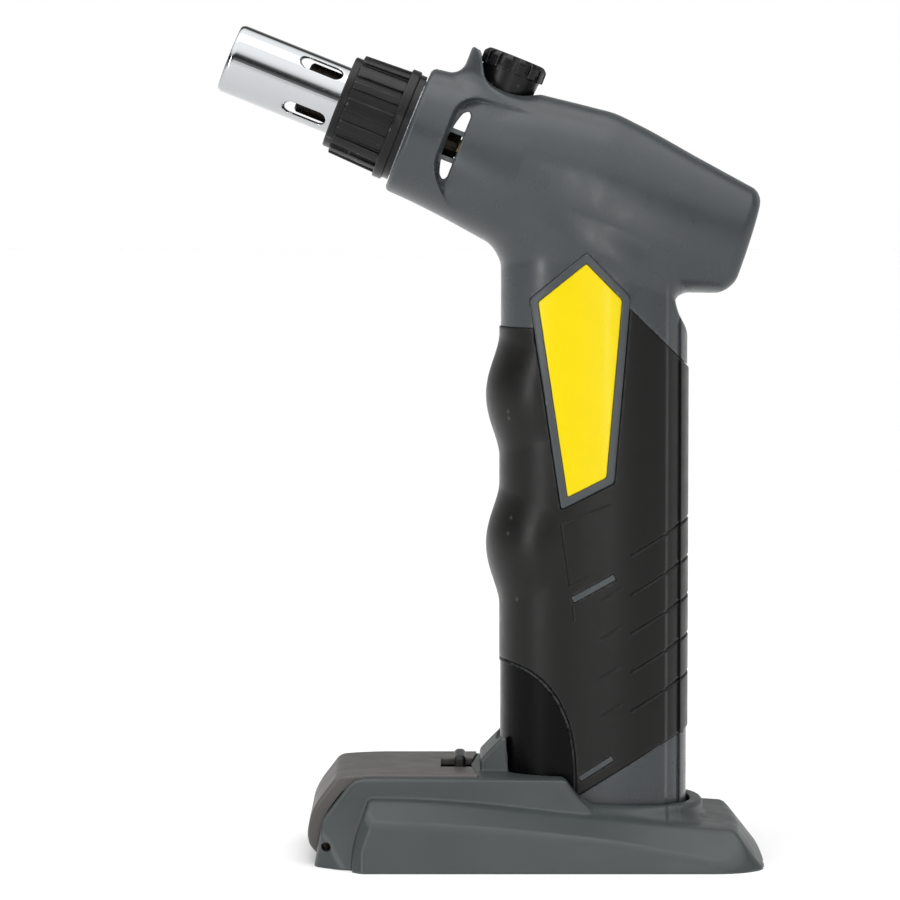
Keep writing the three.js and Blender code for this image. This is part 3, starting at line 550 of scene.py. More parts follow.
def shell(side):
    """One grey half, on the side of Y that the sign gives."""
    def field(x, y, z):
        along, height = in_head(x, z)
        form = both(torch_form(x, y, z), HANDLE_BOTTOM - z, 1.2)
        covered = np.minimum(grip_outline(x, z), front_panel(x, z)) - 0.15
        form = without(form, both(covered, -handle(x, y, -SEAT_DEPTH)), 0.15)
        form = without(form, badge_pocket(x, y, z, 0.1))
        form = without(form, torch_hollow(x, y, z))
        around_knob = np.hypot(along - KNOB_ALONG, y)
        form = without(form, both(around_knob - RECESS_RADIUS, RECESS_FLOOR - height), 0.5)
        form = without(form, both(around_knob - STEM_HOLE, -height))
        form = without(form, both(np.hypot(height, y) - SPIGOT_BORE, HEAD_FRONT - SPIGOT_DEPTH - along), 0.4)
        form = without(form, vents(along, height, y), 0.35)
        form = without(form, both(np.hypot(x - HANDLE_X, y) - TANK_PORT, z - 20))
        for px, pz, bore_y in screw_places():
            across = np.hypot(x - px, z - pz)
            form = without(form, both(across - SCREW_HOLE, SCREW_TIP_Y - y))
            form = without(form, both(across - COUNTERBORE, bore_y - y), 0.2)
        tongue = SEAM_TONGUE * (side > 0) * ramp(-torch_form(x, y, z), 0.5, 0.7)
        return both(form, SKIN_GAP - tongue - side * y, 0.1)
    return field


def grip(side):
    """The rubber on one side, with its two finger bumps."""
    def field(x, y, z):
        outer = handle(x, y)
        for height in BUMP_HEIGHTS:
            outer = either(outer, ball(x - BUMP_X, y, z - height, BUMP_RADII), BUMP_FILLET)
        outer = outer + grooves(x, z)
        form = both(outer, grip_outline(x, z), 0.3)
        form = without(form, handle(x, y, -GRIP_THICKNESS))
        form = without(form, badge_pocket(x, y, z, SEAM), 0.2)
        for start, end, thickness in STRIPES:
            slot = both(stripe(x, z, start, end, thickness, INSERT_GAP), -handle(x, y, -STRIPE_DEPTH))
            form = without(form, slot)
        for px, pz, bore_y in screw_places():
            form = without(form, both(np.hypot(x - px, z - pz) - COUNTERBORE, bore_y - y), 0.2)
        return both(form, SKIN_GAP - side * y)
    return field


def warning_panel(x, y, z):
    outer = both(handle(x, y, -0.25), front_panel(x, z) + 0.1, 0.3)
    rim = PANEL_RIM * ramp(panel_outline(x, z), -0.75, -0.6)
    return without(outer - rim, handle(x, y, -GRIP_THICKNESS))


def badge_frame(side):
    def field(x, y, z):
        border = both(polygon(x, z, BADGE, 0.8), handle(x, y, BADGE_PROUD), 0.4)
        border = without(border, handle(x, y, -BADGE_BACK))
        window = both(polygon(x, z, BADGE, 0.5, -BADGE_BORDER), -handle(x, y, -0.45))
        return both(without(border, window, 0.25), FAR_FROM_SEAM - side * y)
    return field


def badge_insert(side):
    def field(x, y, z):
        outline = polygon(x, z, BADGE, 0.5, -BADGE_BORDER - INSERT_GAP)
        form = both(outline, handle(x, y, INSERT_PROUD), 0.22)
        return both(without(form, handle(x, y, -INSERT_BACK)), FAR_FROM_SEAM - side * y)
    return field


def inlay(side, bar):
    """A grey bar let into the rubber."""
    start, end, thickness = bar

    def field(x, y, z):
        form = both(stripe(x, z, start, end, thickness), handle(x, y, -0.1), 0.2)
        return both(without(form, handle(x, y, -INLAY_BACK)), FAR_FROM_SEAM - side * y)
    return field


# ---------- burner, collar and knob, in the head's own axes ----------

# In the head's axes x runs forward along the burner, y across, z up from its axis.
head_turn = np.stack([BURNER, np.array([0, 1, 0]), KNOB_UP], 1)
if np.linalg.det(head_turn) < 0:
    head_turn[:, 1] *= -1
HEAD_PLACE = (head_turn, HEAD)

TUBE_RADIUS = 8.9
TUBE_BORE = 8.1
TUBE_LIP = 2
SLOT_CENTRE = (TUBE_ROOT + TUBE_TIP) / 2 + 3.4
SLOT_LENGTH = 11.5
SLOT_WIDTH = 4.2
SLOT_TURNS = (45, 135)  # degrees round the tube, and each slot goes through both walls


def burner_tube(x, y, z):
    radius = np.hypot(y, z)
    form = both(radius - TUBE_RADIUS, both(x - TUBE_TIP, TUBE_ROOT - x), 0.0)
    outward, ahead = radius - TUBE_RADIUS + TUBE_LIP, x - TUBE_TIP + TUBE_LIP
    form = np.maximum(form, np.hypot(np.maximum(outward, 0), np.maximum(ahead, 0)) - TUBE_LIP)
    form = without(form, both(radius - TUBE_BORE, x - TUBE_TIP - 5), 0.3)
    for degrees in SLOT_TURNS:
        turn = math.radians(degrees)
        aside = y * math.sin(turn) - z * math.cos(turn)
        reach = (SLOT_LENGTH - SLOT_WIDTH) / 2
        ahead = np.maximum(np.abs(x - SLOT_CENTRE) - reach, 0)
        form = without(form, np.hypot(ahead, aside) - SLOT_WIDTH / 2, 0.25)
    return form


COLLAR_RIBS = [(0, 15), (24, 9), (43, 13), (66, 11)]  # centre and width in degrees, four times round
COLLAR_BODY_RADIUS = 12.35
COLLAR_RIB_RADIUS = 13.05
COLLAR_FRONT_RADIUS = 12
COLLAR_REAR_RADIUS = 14.5
COLLAR_SPIGOT_RADIUS = 13.9
COLLAR_MOUTH = 11
COLLAR_BORE = 9.5


def air_collar(x, y, z):
    radius = np.hypot(y, z)
    angle = np.degrees(np.arctan2(z, y)) % 90
    behind = COLLAR_FRONT - x
    ends = both(x - COLLAR_FRONT + 2, COLLAR_REAR - x)
    form = both(radius - COLLAR_BODY_RADIUS - 0.03 * behind, ends)
    for centre, width in COLLAR_RIBS:
        aside = np.abs((angle - centre + 45) % 90 - 45) - width / 2
        rib = both(np.radians(aside) * radius, radius - COLLAR_RIB_RADIUS - 0.045 * behind, 0.3)
        rib = both(rib, both(x - COLLAR_FRONT + 2.1, COLLAR_REAR + 3 - x, 0.2), 0.25)
        form = either(form, rib, 0.3)
    front_ends = both(x - COLLAR_FRONT, COLLAR_FRONT - 2.2 - x, 0.1)
    front = both(radius - COLLAR_FRONT_RADIUS, front_ends, 0.5)
    rear_ends = both(x - COLLAR_REAR - 3.4, COLLAR_REAR + 0.9 - x, 0.2)
    rear = both(radius - COLLAR_REAR_RADIUS, rear_ends, 0.4)
    form = either(either(form, front), rear, 0.3)
    spigot_ends = both(x - COLLAR_REAR - 1.5, COLLAR_REAR - 0.7 - x)
    form = either(form, both(radius - COLLAR_SPIGOT_RADIUS, spigot_ends))
    form = without(form, both(radius - COLLAR_MOUTH, x - COLLAR_FRONT + 2.7))
    return without(form, radius - COLLAR_BORE, 0.3)


KNOB_BAND = 22.8
KNOB_RADIUS = 8.4
KNOB_NOTCH_RADIUS = 7.4
KNOB_CHAMFER_RADIUS = 7.3
KNOB_SKIRT_RADIUS = 6.95
KNOB_BORE = 5.6
KNOB_RIBS = 14


def control_knob(x, y, z):
    """The knob about its own axis: a smooth skirt, and a band of square ribs with a chamfered top."""
    dx = x - KNOB_ALONG
    radius = np.hypot(dx, y)
    pitch = 2 * math.pi / KNOB_RIBS
    aside = np.abs((np.arctan2(y, dx) + pitch / 2) % pitch - pitch / 2) * radius
    band = both(radius - KNOB_RADIUS, both(z - KNOB_TOP, KNOB_BAND - z, 0.2), 0.25)
    band = both(band, (radius - KNOB_CHAMFER_RADIUS + z - KNOB_TOP) / math.sqrt(2), 0.3)
    notch = both(np.abs(aside - pitch * radius / 2) - 0.75, KNOB_NOTCH_RADIUS - radius, 0.15)
    band = without(band, notch, 0.25)
    side = radius - KNOB_SKIRT_RADIUS - 0.09 * (z - KNOB_BOTTOM)
    skirt = both(side, both(z - KNOB_BAND - 1, KNOB_BOTTOM - z, 0.2), 0.3)
    form = either(band, skirt, 0.2)
    return without(form, both(radius - KNOB_BORE, z - KNOB_TOP + 2))


# ---------- stand ----------

# Heights of the foot's side edge and of the deck's edge, against X.
SHOULDER = curve([
    (-46, 12.4), (-30, 11.9), (-6, 10.8), (17, 8.9), (31, 7.3), (46, 4.7), (60, 1.9), (72, -0.6),
])
DECK = curve([
    (-46, 17), (-30, 16.8), (-18, 16.5), (-6, 15.8), (17, 13.5), (36, 11.7), (46, 10.3), (62, 9), (72, 8.2),
])
DECK_HALF_WIDTH = 27.5
SIDE_LEAN = 0.28
SKIRT_FRONT_LOW = (-34.7, 5.6)
SKIRT_FRONT_HIGH = (-30.7, 16.5)
SKIRT_REAR_TOP = (62.3, 9.3)
REAR_BOW = 0.0012
CORNER_FACET = 1.7
STAND_WALL = 2.2
SOCKET_TOP = 14.2
SOCKET_FLOOR = 4.7
SOCKET_GAP = 0.6
RING_REACH = 3.9

TOWER_LEANS = (((25.6, 12), (31.8, 0)), ((24.4, 21.6), (25.6, 12)))
TOWER_BEVEL = ((22.2, 22.6), (24.4, 21.6))
TOWER_CORNER = ((-44.9, 25.2), (-36.6, 32.2))
TOWER_PROFILE = [
    (-44.9, -3), (-43.4, 7), (-42.4, 11.6), (-35.2, 21), (-31.8, 22.5), (18.5, 21.9), (28, 9), (29, -3),
]
STRUT_PROFILE = [(-2.6, 16), (-2.6, 25), (3.2, 31), (14, 31), (14, 16)]
STRUT_HALF_WIDTH = 12
TRAY_OUTSIDE = ((-36.2, -20.8, 2.6), (-4.4, 20.8, 18))
TRAY_INSIDE = ((-34.6, -19.2, 4.2), (-6, 19.2, 40))
SCREW_POST = 3
PIN_HOLE_IN_STAND = 1.15


def skirt_front(x, z):
    """The foot's front: upright below, leaning back above."""
    upper = half_plane(x, z, SKIRT_FRONT_LOW, SKIRT_FRONT_HIGH)
    return both(SKIRT_FRONT_LOW[0] - x, upper, 1.5)


def stand_skirt(x, y, z, inset=0.0):
    """The low broad foot: leaning sides, and a slanting ledge up to the deck."""
    foot = stand_high[1]
    across = np.abs(y)
    side = (across - foot + SIDE_LEAN * z) / math.hypot(1, SIDE_LEAN)
    shoulder, deck = SHOULDER(x), DECK(x)
    run = foot - SIDE_LEAN * shoulder - DECK_HALF_WIDTH
    pitch = (deck - shoulder) / run
    ledge = (z - deck + pitch * (across - DECK_HALF_WIDTH)) / np.hypot(1, pitch)
    top = both(ledge, z - deck - 0.3, 1.0)
    front = skirt_front(x, z)
    rear = half_plane(x, z, SKIRT_REAR_TOP, (stand_high[0], 0))
    rear = both(rear, x - stand_high[0], 1.0) + REAR_BOW * across ** 2
    form = both(side + inset, rear + inset, np.clip(9 - 0.35 * z, 3, 9))
    form = both(form, front + inset, 0.7)
    form = both(form, (side + front) / math.sqrt(2) + CORNER_FACET + inset, 0.5)
    return both(form, top + inset, 1.0)


def tower(x, y, z, inset=0.0):
    """The raised front part of the stand, which carries the lid."""
    across = np.abs(y)
    side_view = polygon(x, z, TOWER_PROFILE, 0.9)
    lean_low, lean_high = [half_plane(across, z, *lean) for lean in TOWER_LEANS]
    section = both(either(lean_low, lean_high, 1.5), half_plane(across, z, *TOWER_BEVEL), 0.5)
    corner = half_plane(x, across, *TOWER_CORNER)
    form = both(section + inset, side_view + inset, 0.9)
    return both(form, corner + inset, 1.5)


def stand_outer(x, y, z, inset=0.0):
    return either(stand_skirt(x, y, z, inset), tower(x, y, z, inset), 0.9 if inset == 0 else 0)


def lid_rear(y):
    """The lid's rear edge, a shallow V that meets the stand's deck."""
    return lid_high[0] - 1.9 * (1 - np.abs(y) / lid_high[1])


def strut(x, y, z):
    """The wedge in front of the handle."""
    across = np.abs(y) - STRUT_HALF_WIDTH + 0.12 * (z - 20)
    return both(polygon(x, z, STRUT_PROFILE, 0.6), across, 1.2)


def stand_body(x, y, z):
    outer = stand_outer(x, y, z)
    form = without(outer, stand_outer(x, y, z, STAND_WALL))
    ring = both(handle(x, y, RING_REACH), both(z - SOCKET_TOP, 2.6 - z), 1.4)
    form = either(form, ring, 1.6 + 2.8 * ramp(np.abs(y), 8, 19))
    form = either(form, strut(x, y, z), 0.6)
    form = either(form, block(x, y, z, *TRAY_OUTSIDE))
    for i in (1, 2, 3, 4):
        low, high = corners(f"stand_screw_{i}")
        across = np.hypot(x - (low[0] + high[0]) / 2, y - (low[1] + high[1]) / 2)
        form = either(form, both(both(across - SCREW_POST, 2.1 - z), outer + 0.6))
        form = without(form, both(across - SCREW_HOLE, z - 6))
    form = without(form, both(handle(x, y, SOCKET_GAP), SOCKET_FLOOR - z), 0.5)
    form = without(form, block(x, y, z, *TRAY_INSIDE))
    lid_space = both(np.abs(y) - lid_high[1] - SEAM, x - lid_rear(y) - SEAM)
    lid_space = both(lid_space, np.minimum(18.2 - z, x + 36.4))
    form = without(form, lid_space, 0.25)
    form = without(form, np.hypot(x - PIN[0], z - PIN[2]) - PIN_HOLE_IN_STAND, 0.15)
    return both(form, -z, 0.3)


LID_OUTLINE = [
    (-32.6, -6), (-45.4, 4), (-46.4, 6.7), (-46.2, 10), (-45, 14), (-38.6, 22.4), (-35.6, 22.8), (0, 22.8),
    (0, -6),
]
LID_WALL = 1.8
CHEEK_DEPTH = 3.3
CHEEK_INNER = 20.2
LUG_RADIUS = 2.9
LUG_HALF_THICKNESS = 1.6
LUG_WEB = [(-45, 4.4), (-45.6, 10), (-43, 13), (-39.4, 8)]
PIN_HOLE_IN_LID = 1.2
LATCH_WINDOW_X = (-12.6, -3.6)
LATCH_WINDOW_HALF_WIDTH = 7.8
RAIL_DROP = 0.9
LATCH_PLATE_TOP = 20.7


def stand_lid(x, y, z):
    across = np.abs(y)
    outer = polygon(x, z, LID_OUTLINE, 1.2)
    outer = both(outer, across - lid_high[1], 1.1)
    form = both(outer, x - lid_rear(y), 0.35)
    form = without(form, polygon(x, z, LID_OUTLINE, 1.0, -LID_WALL))
    cheek = without(outer, polygon(x, z, LID_OUTLINE, 1.0, -CHEEK_DEPTH))
    cheek_reach = both(x - lid_rear(y), np.minimum(18.6 - z, x + 36.8))
    cheek = both(both(cheek, CHEEK_INNER - across), cheek_reach)
    form = either(form, cheek)
    form = both(form, 2.6 - z, 0.4)
    beside_pin = np.abs(across - lid_high[1] + LUG_HALF_THICKNESS) - LUG_HALF_THICKNESS
    from_pin = np.hypot(x - PIN[0], z - PIN[2])
    form = either(form, both(from_pin - LUG_RADIUS, beside_pin, 0.2))
    form = either(form, both(polygon(x, z, LUG_WEB), beside_pin))
    rail_bottom = latch_low[2] - RAIL_DROP
    rail = block(x, across, z, (-17, 9.4, rail_bottom), (-5, 10.8, 21.8))
    lip = block(x, across, z, (-17, 8, rail_bottom), (-5, 10, rail_bottom + 0.6))
    form = either(form, either(rail, lip))
    window = both(LATCH_WINDOW_X[0] - x, x - LATCH_WINDOW_X[1])
    window = both(window, both(across - LATCH_WINDOW_HALF_WIDTH, 15 - z))
    form = without(form, window, 0.25)
    return without(form, from_pin - PIN_HOLE_IN_LID)


def latch_slider(x, y, z):
    plate = block(x, y, z, latch_low, (latch_high[0], latch_high[1], LATCH_PLATE_TOP), 0.2)
    grip_bar = block(x, y, z, (-9.2, -7.2, 20), (-6.2, 7.2, latch_high[2]), 1.2)
    return either(plate, grip_bar, 0.3)


# ---------- materials ----------

def linear(colour):
    """The shader's colour for an sRGB hex triple."""
    parts = [int(colour[i:i + 2], 16) / 255 for i in (0, 2, 4)]
    return [c / 12.92 if c <= 0.04045 else ((c + 0.055) / 1.055) ** 2.4 for c in parts]


class Nodes:
    """A short way to build a node material."""

    def __init__(self, name):
        self.material = bpy.data.materials.new(name)
        self.material.use_nodes = True
        self.tree = self.material.node_tree
        self.shader = self.tree.nodes["Principled BSDF"]
        self.coords = self.add("ShaderNodeTexCoord").outputs["Object"]

    def add(self, kind, **inputs):
        node = self.tree.nodes.new(kind)
        for key, value in inputs.items():
            self.plug(node.inputs[key.replace("_", " ")], value)
        return node

    def plug(self, socket, value):
        if isinstance(value, bpy.types.NodeSocket):
            self.tree.links.new(value, socket)
        else:
            socket.default_value = value

    def noise(self, scale, detail=3.0, roughness=0.55, stretch=None):
        vector = self.coords
        if stretch:
            vector = self.add("ShaderNodeMapping", Vector=self.coords, Scale=stretch).outputs["Vector"]
        node = self.add("ShaderNodeTexNoise", Vector=vector, Scale=scale, Detail=detail, Roughness=roughness)
        return node.outputs["Fac"]

    def spread(self, value, low, high, out_low, out_high):
        node = self.add("ShaderNodeMapRange", Value=value, From_Min=low, From_Max=high)
        node.inputs["To Min"].default_value = out_low
        node.inputs["To Max"].default_value = out_high
        return node.outputs["Result"]

    def blend(self, factor, first, second):
        node = self.tree.nodes.new("ShaderNodeMix")
        node.data_type = "RGBA"
        self.plug(node.inputs[0], factor)
        self.plug(node.inputs[6], first)
        self.plug(node.inputs[7], second)
        return node.outputs[2]

    def multiply(self, first, second):
        node = self.tree.nodes.new("ShaderNodeMath")
        node.operation = "MULTIPLY"
        self.plug(node.inputs[0], first)
        self.plug(node.inputs[1], second)
        return node.outputs[0]

    def edges(self, low, high):
        """1 on sharp convex edges, 0 on flat ground."""
        pointed = self.add("ShaderNodeNewGeometry").outputs["Pointiness"]
        return self.spread(pointed, low, high, 0.0, 1.0)

    def bump(self, height, strength, distance):
        node = self.add("ShaderNodeBump", Height=height)
        node.inputs["Strength"].default_value = strength
        node.inputs["Distance"].default_value = distance
        self.plug(self.shader.inputs["Normal"], node.outputs["Normal"])


def plastic(name, colour, roughness, grain=0.2, grain_scale=2600.0, painted_highlight_colour="FFFFFF", painted_highlight_share=0.1,
            shade=0.08, coat=0.0, specular=0.36):
    """Moulded plastic: fine grain, slow colour drift, and painted highlights on its sharp convex edges."""
    n = Nodes(name)
    base = linear(colour)
    darker = [c * (1 - shade) for c in base] + [1]
    lighter = [min(c * (1 + shade), 1) for c in base] + [1]
    drift = n.spread(n.noise(28.0, 4.0), 0.35, 0.65, 0.0, 1.0)
    toned = n.blend(drift, darker, lighter)
    # painted highlight: sharp convex edges are blended towards a lighter colour
    edge = n.multiply(n.edges(0.53, 0.6), painted_highlight_share)
    n.plug(n.shader.inputs["Base Color"], n.blend(edge, toned, linear(painted_highlight_colour) + [1]))
    gloss = n.noise(160.0, 5.0)
    n.plug(n.shader.inputs["Roughness"], n.spread(gloss, 0.3, 0.7, roughness - 0.05, roughness + 0.06))
    n.bump(n.noise(grain_scale, 2.0, 0.6), grain, 0.0001)
    n.shader.inputs["Specular IOR Level"].default_value = specular
    n.shader.inputs["Coat Weight"].default_value = coat
    n.shader.inputs["Coat Roughness"].default_value = 0.08
    return n.material


def rubber(name, colour):
    """Soft black grip: dull, with a fine pebbled skin, a faint warm drift and painted highlights on its sharp
    edges.
    """
    n = Nodes(name)
    base = linear(colour)
    drift = n.spread(n.noise(35.0, 5.0), 0.35, 0.65, 0.0, 1.0)
    toned = n.blend(drift, [c * 0.88 for c in base] + [1], [base[0] * 1.16, base[1] * 1.1, base[2] * 1.08, 1])
    # painted highlight: sharp convex edges are blended towards a pale grey
    edge = n.multiply(n.edges(0.52, 0.6), 0.12)
    n.plug(n.shader.inputs["Base Color"], n.blend(edge, toned, linear("8a8583") + [1]))
    n.plug(n.shader.inputs["Roughness"], n.spread(n.noise(220.0, 4.0), 0.3, 0.7, 0.3, 0.4))
    n.bump(n.noise(3400.0, 2.0, 0.7), 0.12, 0.00008)
    n.shader.inputs["Specular IOR Level"].default_value = 0.24
    n.shader.inputs["Sheen Weight"].default_value = 0.03
    n.shader.inputs["Sheen Roughness"].default_value = 0.5
    return n.material


def metal(name, colour, roughness, brushed=(1, 1, 1), scratch=0.12, tint=None, tint_share=0.0):
    """Turned or plated metal, with fine marks along the brushing and handling smudges."""
    n = Nodes(name)
    base = linear(colour) + [1]
    smudge = n.spread(n.noise(60.0, 5.0), 0.4, 0.75, 0.0, 1.0)
    stained = n.blend(n.multiply(smudge, tint_share), base, linear(tint or colour) + [1])
    n.plug(n.shader.inputs["Base Color"], stained)
    n.shader.inputs["Metallic"].default_value = 1.0
    streaks = n.noise(900.0, 3.0, 0.6, brushed)
    n.plug(n.shader.inputs["Roughness"], n.spread(streaks, 0.3, 0.7, roughness * 0.75, roughness * 1.3))
    n.bump(streaks, scratch, 0.00002)
    return n.material


def woven(name, colour):
    """Cotton wick: crossing strands."""
    n = Nodes(name)
    wave = n.add("ShaderNodeTexWave", Vector=n.coords, Scale=900.0, Distortion=1.5, Detail=2.0)
    tone = n.blend(wave.outputs["Fac"], [c * 0.7 for c in linear(colour)] + [1], linear(colour) + [1])
    n.plug(n.shader.inputs["Base Color"], tone)
    n.shader.inputs["Roughness"].default_value = 0.95
    n.bump(wave.outputs["Fac"], 0.6, 0.0002)
    return n.material


# The lighter edge colours and their shares given here are painted highlights on sharp convex edges.
FINISHES = {
    "grey_shell": lambda: plastic("grey_shell", "3b3f41", 0.29, grain=0.06, painted_highlight_colour="7d8283", painted_highlight_share=0.25),
    "grey_stand": lambda: plastic("grey_stand", "393e3e", 0.37, grain=0.08, painted_highlight_colour="7b8081", painted_highlight_share=0.25),
    "lid_grey": lambda: plastic("lid_grey", "504d4b", 0.4, grain=0.1, painted_highlight_colour="7a7674", painted_highlight_share=0.2),
    "black_rubber": lambda: rubber("black_rubber", "100f0e"),
    "badge_frame": lambda: plastic("badge_frame", "3c4042", 0.36, grain=0.05, painted_highlight_colour="8a8f91", painted_highlight_share=0.25),
    "yellow_badge": lambda: plastic("yellow_badge", "dfc702", 0.3, grain=0.01, shade=0.02,
                                    painted_highlight_share=0.05, coat=0.05, specular=0.12),
    "panel_black": lambda: plastic("panel_black", "060607", 0.26, grain=0.04, painted_highlight_colour="6f7375", painted_highlight_share=0.4,
                                   specular=0.08),
    "black_plastic": lambda: plastic("black_plastic", "0d0d0f", 0.3, grain=0.07, painted_highlight_colour="6a6a6c",
                                     painted_highlight_share=0.3, specular=0.25),
    "latch_black": lambda: plastic("latch_black", "0a0a0b", 0.35, grain=0.12, painted_highlight_colour="66666a", painted_highlight_share=0.3),
    "chrome": lambda: metal("chrome", "b8babc", 0.06, (1, 1, 1), 0.01, "aeb1b3", 0.3),
    "steel": lambda: metal("steel", "a9adb0", 0.3, (1, 6, 1), 0.15, "8d9194", 0.5),
    "dark_metal": lambda: metal("dark_metal", "3c3834", 0.45, (1, 1, 1), 0.2, "1f1c1a", 0.7),
    "brass": lambda: metal("brass", "b8974e", 0.28, (1, 1, 6), 0.12, "8a6b33", 0.5),
    "tank_plastic": lambda: plastic("tank_plastic", "dde2df", 0.3, grain=0.1, shade=0.04),
    "seal_rubber": lambda: rubber("seal_rubber", "1f1f1f"),
    "wick": lambda: woven("wick", "f0ece0"),
    "tube_plastic": lambda: plastic("tube_plastic", "3b3d3f", 0.4, grain=0.1),
    "piezo_blue": lambda: plastic("piezo_blue", "1f3f7a", 0.35, grain=0.1),
    "lever_plastic": lambda: plastic("lever_plastic", "d8d4c8", 0.45, grain=0.15, shade=0.04),
    "plate_plastic": lambda: plastic("plate_plastic", "3f4344", 0.55, grain=0.3),
}
made = {}


def finish(slot):
    """The material for a slot, made once."""
    if slot not in made:
        made[slot] = FINISHES[slot]()
    return made[slot]


# ---------- building ----------

SKIN_REACH = 20.5
GRIP_REACH = 19.6
INLAY_REACH = (13.0, 19.5)


def build_shells():
    low, high = corners("left_shell")
    for name, side in (("left", -1), ("right", 1)):
        near, far = sorted((0.0, side * SKIN_REACH))
        moulded(f"{name}_shell_skin", "torch", "grey_shell", shell(side), (low[0] - 1, near, low[2]),
                (high[0] + 1.5, far, high[2] + 1), step=0.645, replaces=[f"{name}_shell"])


def build_grips():
    low, high = corners("left_grip")
    for name, side in (("left", -1), ("right", 1)):
        near, far = sorted((0.0, side * GRIP_REACH))
        moulded(f"{name}_grip_skin", "torch", "black_rubber", grip(side), (low[0] - 1, near, low[2] - 1),
                (high[0] + 0.5, far, high[2] + 6), step=0.42, replaces=[f"{name}_grip"])
        near, far = sorted(side * reach for reach in INLAY_REACH)
        for i, bar in enumerate(STRIPES):
            (x0, z0), (x1, z1), _ = bar
            moulded(f"{name}_grip_inlay_{i + 1}", "torch", "grey_shell", inlay(side, bar),
                    (x0 - 2, near, z0 - 2), (x1 + 2, far, z1 + 2), step=0.3)


def moulded_for(node, name, body, slot, field, step):
    """Meshes a field in the space of the node that it replaces."""
    low, high = corners(node)
    moulded(name, body, slot, field, low - 0.5, high + 0.5, step, replaces=[node])


def build_badges():
    for name, side in (("left", -1), ("right", 1)):
        moulded_for(f"{name}_badge_frame", f"{name}_badge_rim", "torch", "badge_frame",
                    badge_frame(side), step=0.32)
        moulded_for(f"{name}_badge_insert", f"{name}_badge_face", "torch", "yellow_badge",
                    badge_insert(side), step=0.36)
    moulded_for("warning_panel", "warning_panel_film", "torch", "panel_black", warning_panel, step=0.4)


def build_burner():
    moulded("burner_tube_chrome", "torch", "chrome", burner_tube, (TUBE_ROOT, -9, -9), (TUBE_TIP, 9, 9),
            step=0.3, place=HEAD_PLACE, replaces=["burner_tube"])
    moulded("air_collar_fluted", "collar", "black_plastic", air_collar, (COLLAR_REAR - 0.8, -14.6, -14.6),
            (COLLAR_FRONT, 14.6, 14.6), step=0.32, place=HEAD_PLACE, replaces=["air_collar"])
    moulded("control_knob_ribbed", "knob", "black_plastic", control_knob,
            (KNOB_ALONG - 8.6, -8.6, KNOB_BOTTOM), (KNOB_ALONG + 8.6, 8.6, KNOB_TOP),
            step=0.24, place=HEAD_PLACE, replaces=["control_knob"])


def build_stand():
    moulded_for("stand_body", "stand_body_moulding", "stand", "grey_stand", stand_body, step=0.62)
    moulded_for("stand_lid", "stand_lid_moulding", "lid", "lid_grey", stand_lid, step=0.4)
    moulded_for("latch_slider", "latch_slider_moulding", "latch", "latch_black", latch_slider, step=0.25)


BEVEL_WIDTH = 0.00012
BEVEL_ANGLE = math.radians(40)
SHARP_ANGLE = math.radians(35)


def finish_inner_nodes():
    """Carried-over nodes keep their shape: a small bevel and their own material."""
    slots = {part["node"]: part["material_slot"] for part in frame["record"]["subparts"]}
    for node, piece in frame["nodes"].items():
        if piece.hide_render:
            continue
        piece.data.materials.clear()
        piece.data.materials.append(finish(slots[node]))
        bevel = piece.modifiers.new("bevel", "BEVEL")
        bevel.width = BEVEL_WIDTH
        bevel.segments = 2
        bevel.limit_method = "ANGLE"
        bevel.angle_limit = BEVEL_ANGLE
        piece.data.shade_smooth()
        piece.data.set_sharp_from_angle(angle=SHARP_ANGLE)


# ---------- stage, lights and camera ----------

CAMERA_PLACE = Vector((-0.01026, -1.144, 0.1836))
CAMERA_AIM = Vector((-0.01026, 0.0, 0.10303))
CAMERA_LENS = 179.86


def area_light(name, place, aim, width, height, power):
    data = bpy.data.lights.new(name, "AREA")
    data.shape = "RECTANGLE"
    data.size, data.size_y = width, height
    data.energy = power
    light = bpy.data.objects.new(name, data)
    light.location = place
    light.rotation_euler = (Vector(aim) - Vector(place)).to_track_quat("-Z", "Y").to_euler()
    bpy.context.scene.collection.objects.link(light)


# The sky's share of its full strength, against the height of the direction. The height is lowered
# behind the object and raised in front of it by the tilt.
SKY = [(0, 0.25), (0.24, 0.14), (0.38, 0.03), (0.48, 0.05), (0.62, 0.7), (0.82, 1), (1, 1)]
SKY_TILT = 0.22
SKY_STRENGTH = 1.7


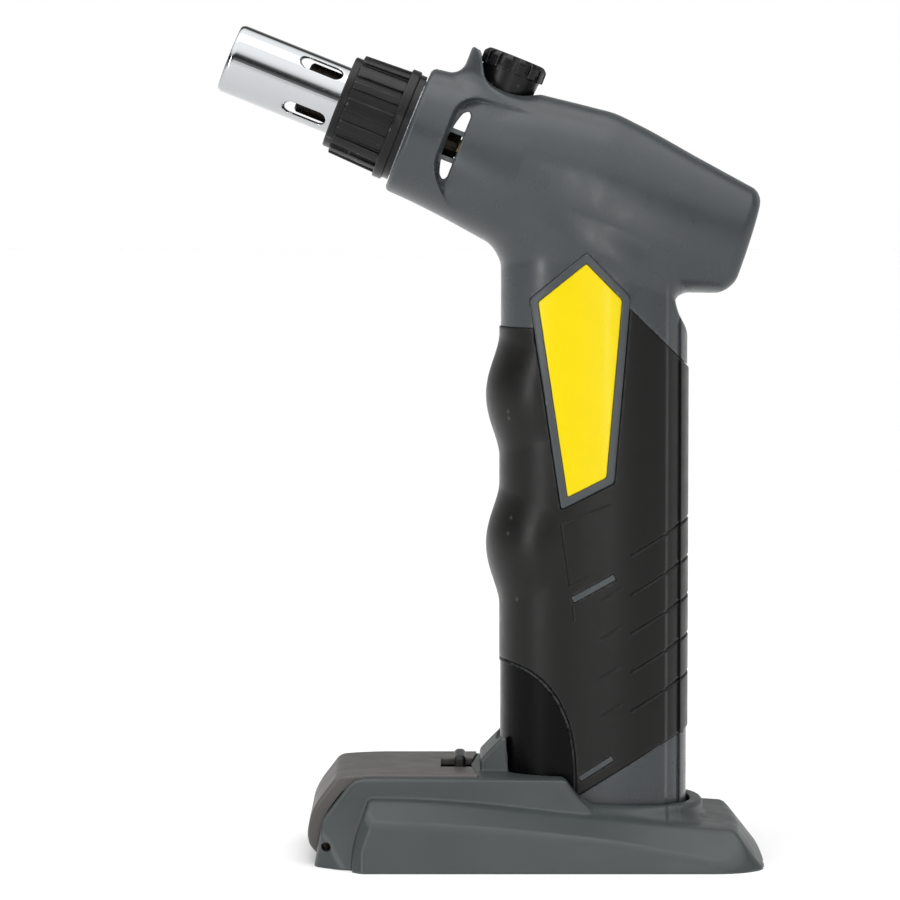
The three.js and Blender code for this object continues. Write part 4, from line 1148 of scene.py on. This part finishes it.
def studio_world():
    """A white studio: bright overhead, dimmer at the horizon, and plain white where it is looked at."""
    world = bpy.data.worlds.new("studio")
    world.use_nodes = True
    tree = world.node_tree
    direction = tree.nodes.new("ShaderNodeSeparateXYZ")
    tree.links.new(tree.nodes.new("ShaderNodeTexCoord").outputs["Generated"], direction.inputs[0])
    height = tree.nodes.new("ShaderNodeMath")
    height.operation = "MULTIPLY_ADD"
    tree.links.new(direction.outputs["Y"], height.inputs[0])
    height.inputs[1].default_value = -SKY_TILT
    tree.links.new(direction.outputs["Z"], height.inputs[2])
    strength = tree.nodes.new("ShaderNodeFloatCurve")
    tree.links.new(height.outputs[0], strength.inputs["Value"])
    line = strength.mapping.curves[0]
    line.points[0].location, line.points[1].location = SKY[0], SKY[-1]
    for point in SKY[1:-1]:
        line.points.new(*point)
    strength.mapping.update()
    scaled = tree.nodes.new("ShaderNodeMath")
    scaled.operation = "MULTIPLY"
    tree.links.new(strength.outputs["Value"], scaled.inputs[0])
    scaled.inputs[1].default_value = SKY_STRENGTH
    seen = tree.nodes.new("ShaderNodeMix")
    tree.links.new(tree.nodes.new("ShaderNodeLightPath").outputs["Is Camera Ray"], seen.inputs[0])
    tree.links.new(scaled.outputs[0], seen.inputs[2])
    seen.inputs[3].default_value = 1.0
    background = tree.nodes["Background"]
    background.inputs["Color"].default_value = (1, 1, 1, 1)
    tree.links.new(seen.outputs[0], background.inputs["Strength"])
    return world


FLOOR_REACH = 6.0


def build_stage():
    floor_mesh = bpy.data.meshes.new("floor")
    square = [(-FLOOR_REACH, -FLOOR_REACH, 0), (FLOOR_REACH, -FLOOR_REACH, 0),
              (FLOOR_REACH, FLOOR_REACH, 0), (-FLOOR_REACH, FLOOR_REACH, 0)]
    floor_mesh.from_pydata(square, [], [(0, 1, 2, 3)])
    floor = bpy.data.objects.new("floor", floor_mesh)
    n = Nodes("floor_paper")
    n.plug(n.shader.inputs["Base Color"], n.blend(n.noise(3.0), (0.9, 0.9, 0.9, 1), (0.93, 0.93, 0.93, 1)))
    n.shader.inputs["Roughness"].default_value = 0.9
    floor_mesh.materials.append(n.material)
    bpy.context.scene.collection.objects.link(floor)
    bpy.context.scene.world = studio_world()
    bpy.context.scene.view_settings.view_transform = "Standard"


def build_lights():
    centre = (0.02, 0, 0.12)
    area_light("key_left", (-0.66, -0.7, 0.28), centre, width=0.08, height=0.6, power=2.4)
    area_light("front_right", (0.16, -1.35, 0.28), centre, width=0.08, height=0.6, power=2.2)
    area_light("rim_right", (1.0, 0.1, 0.25), centre, width=0.4, height=0.9, power=0.5)
    area_light("top", (0.0, -0.1, 1.0), centre, width=0.8, height=0.5, power=1.5)


def build_camera():
    data = bpy.data.cameras.new("camera")
    data.lens = CAMERA_LENS
    data.sensor_width = 36
    camera = bpy.data.objects.new("camera", data)
    camera.location = CAMERA_PLACE
    camera.rotation_euler = (CAMERA_AIM - CAMERA_PLACE).to_track_quat("-Z", "Y").to_euler()
    bpy.context.scene.collection.objects.link(camera)
    bpy.context.scene.camera = camera


build_camera()
build_stage()
build_lights()
build_shells()
build_grips()
build_badges()
build_burner()
build_stand()
finish_inner_nodes()

bpy.context.view_layer.update()
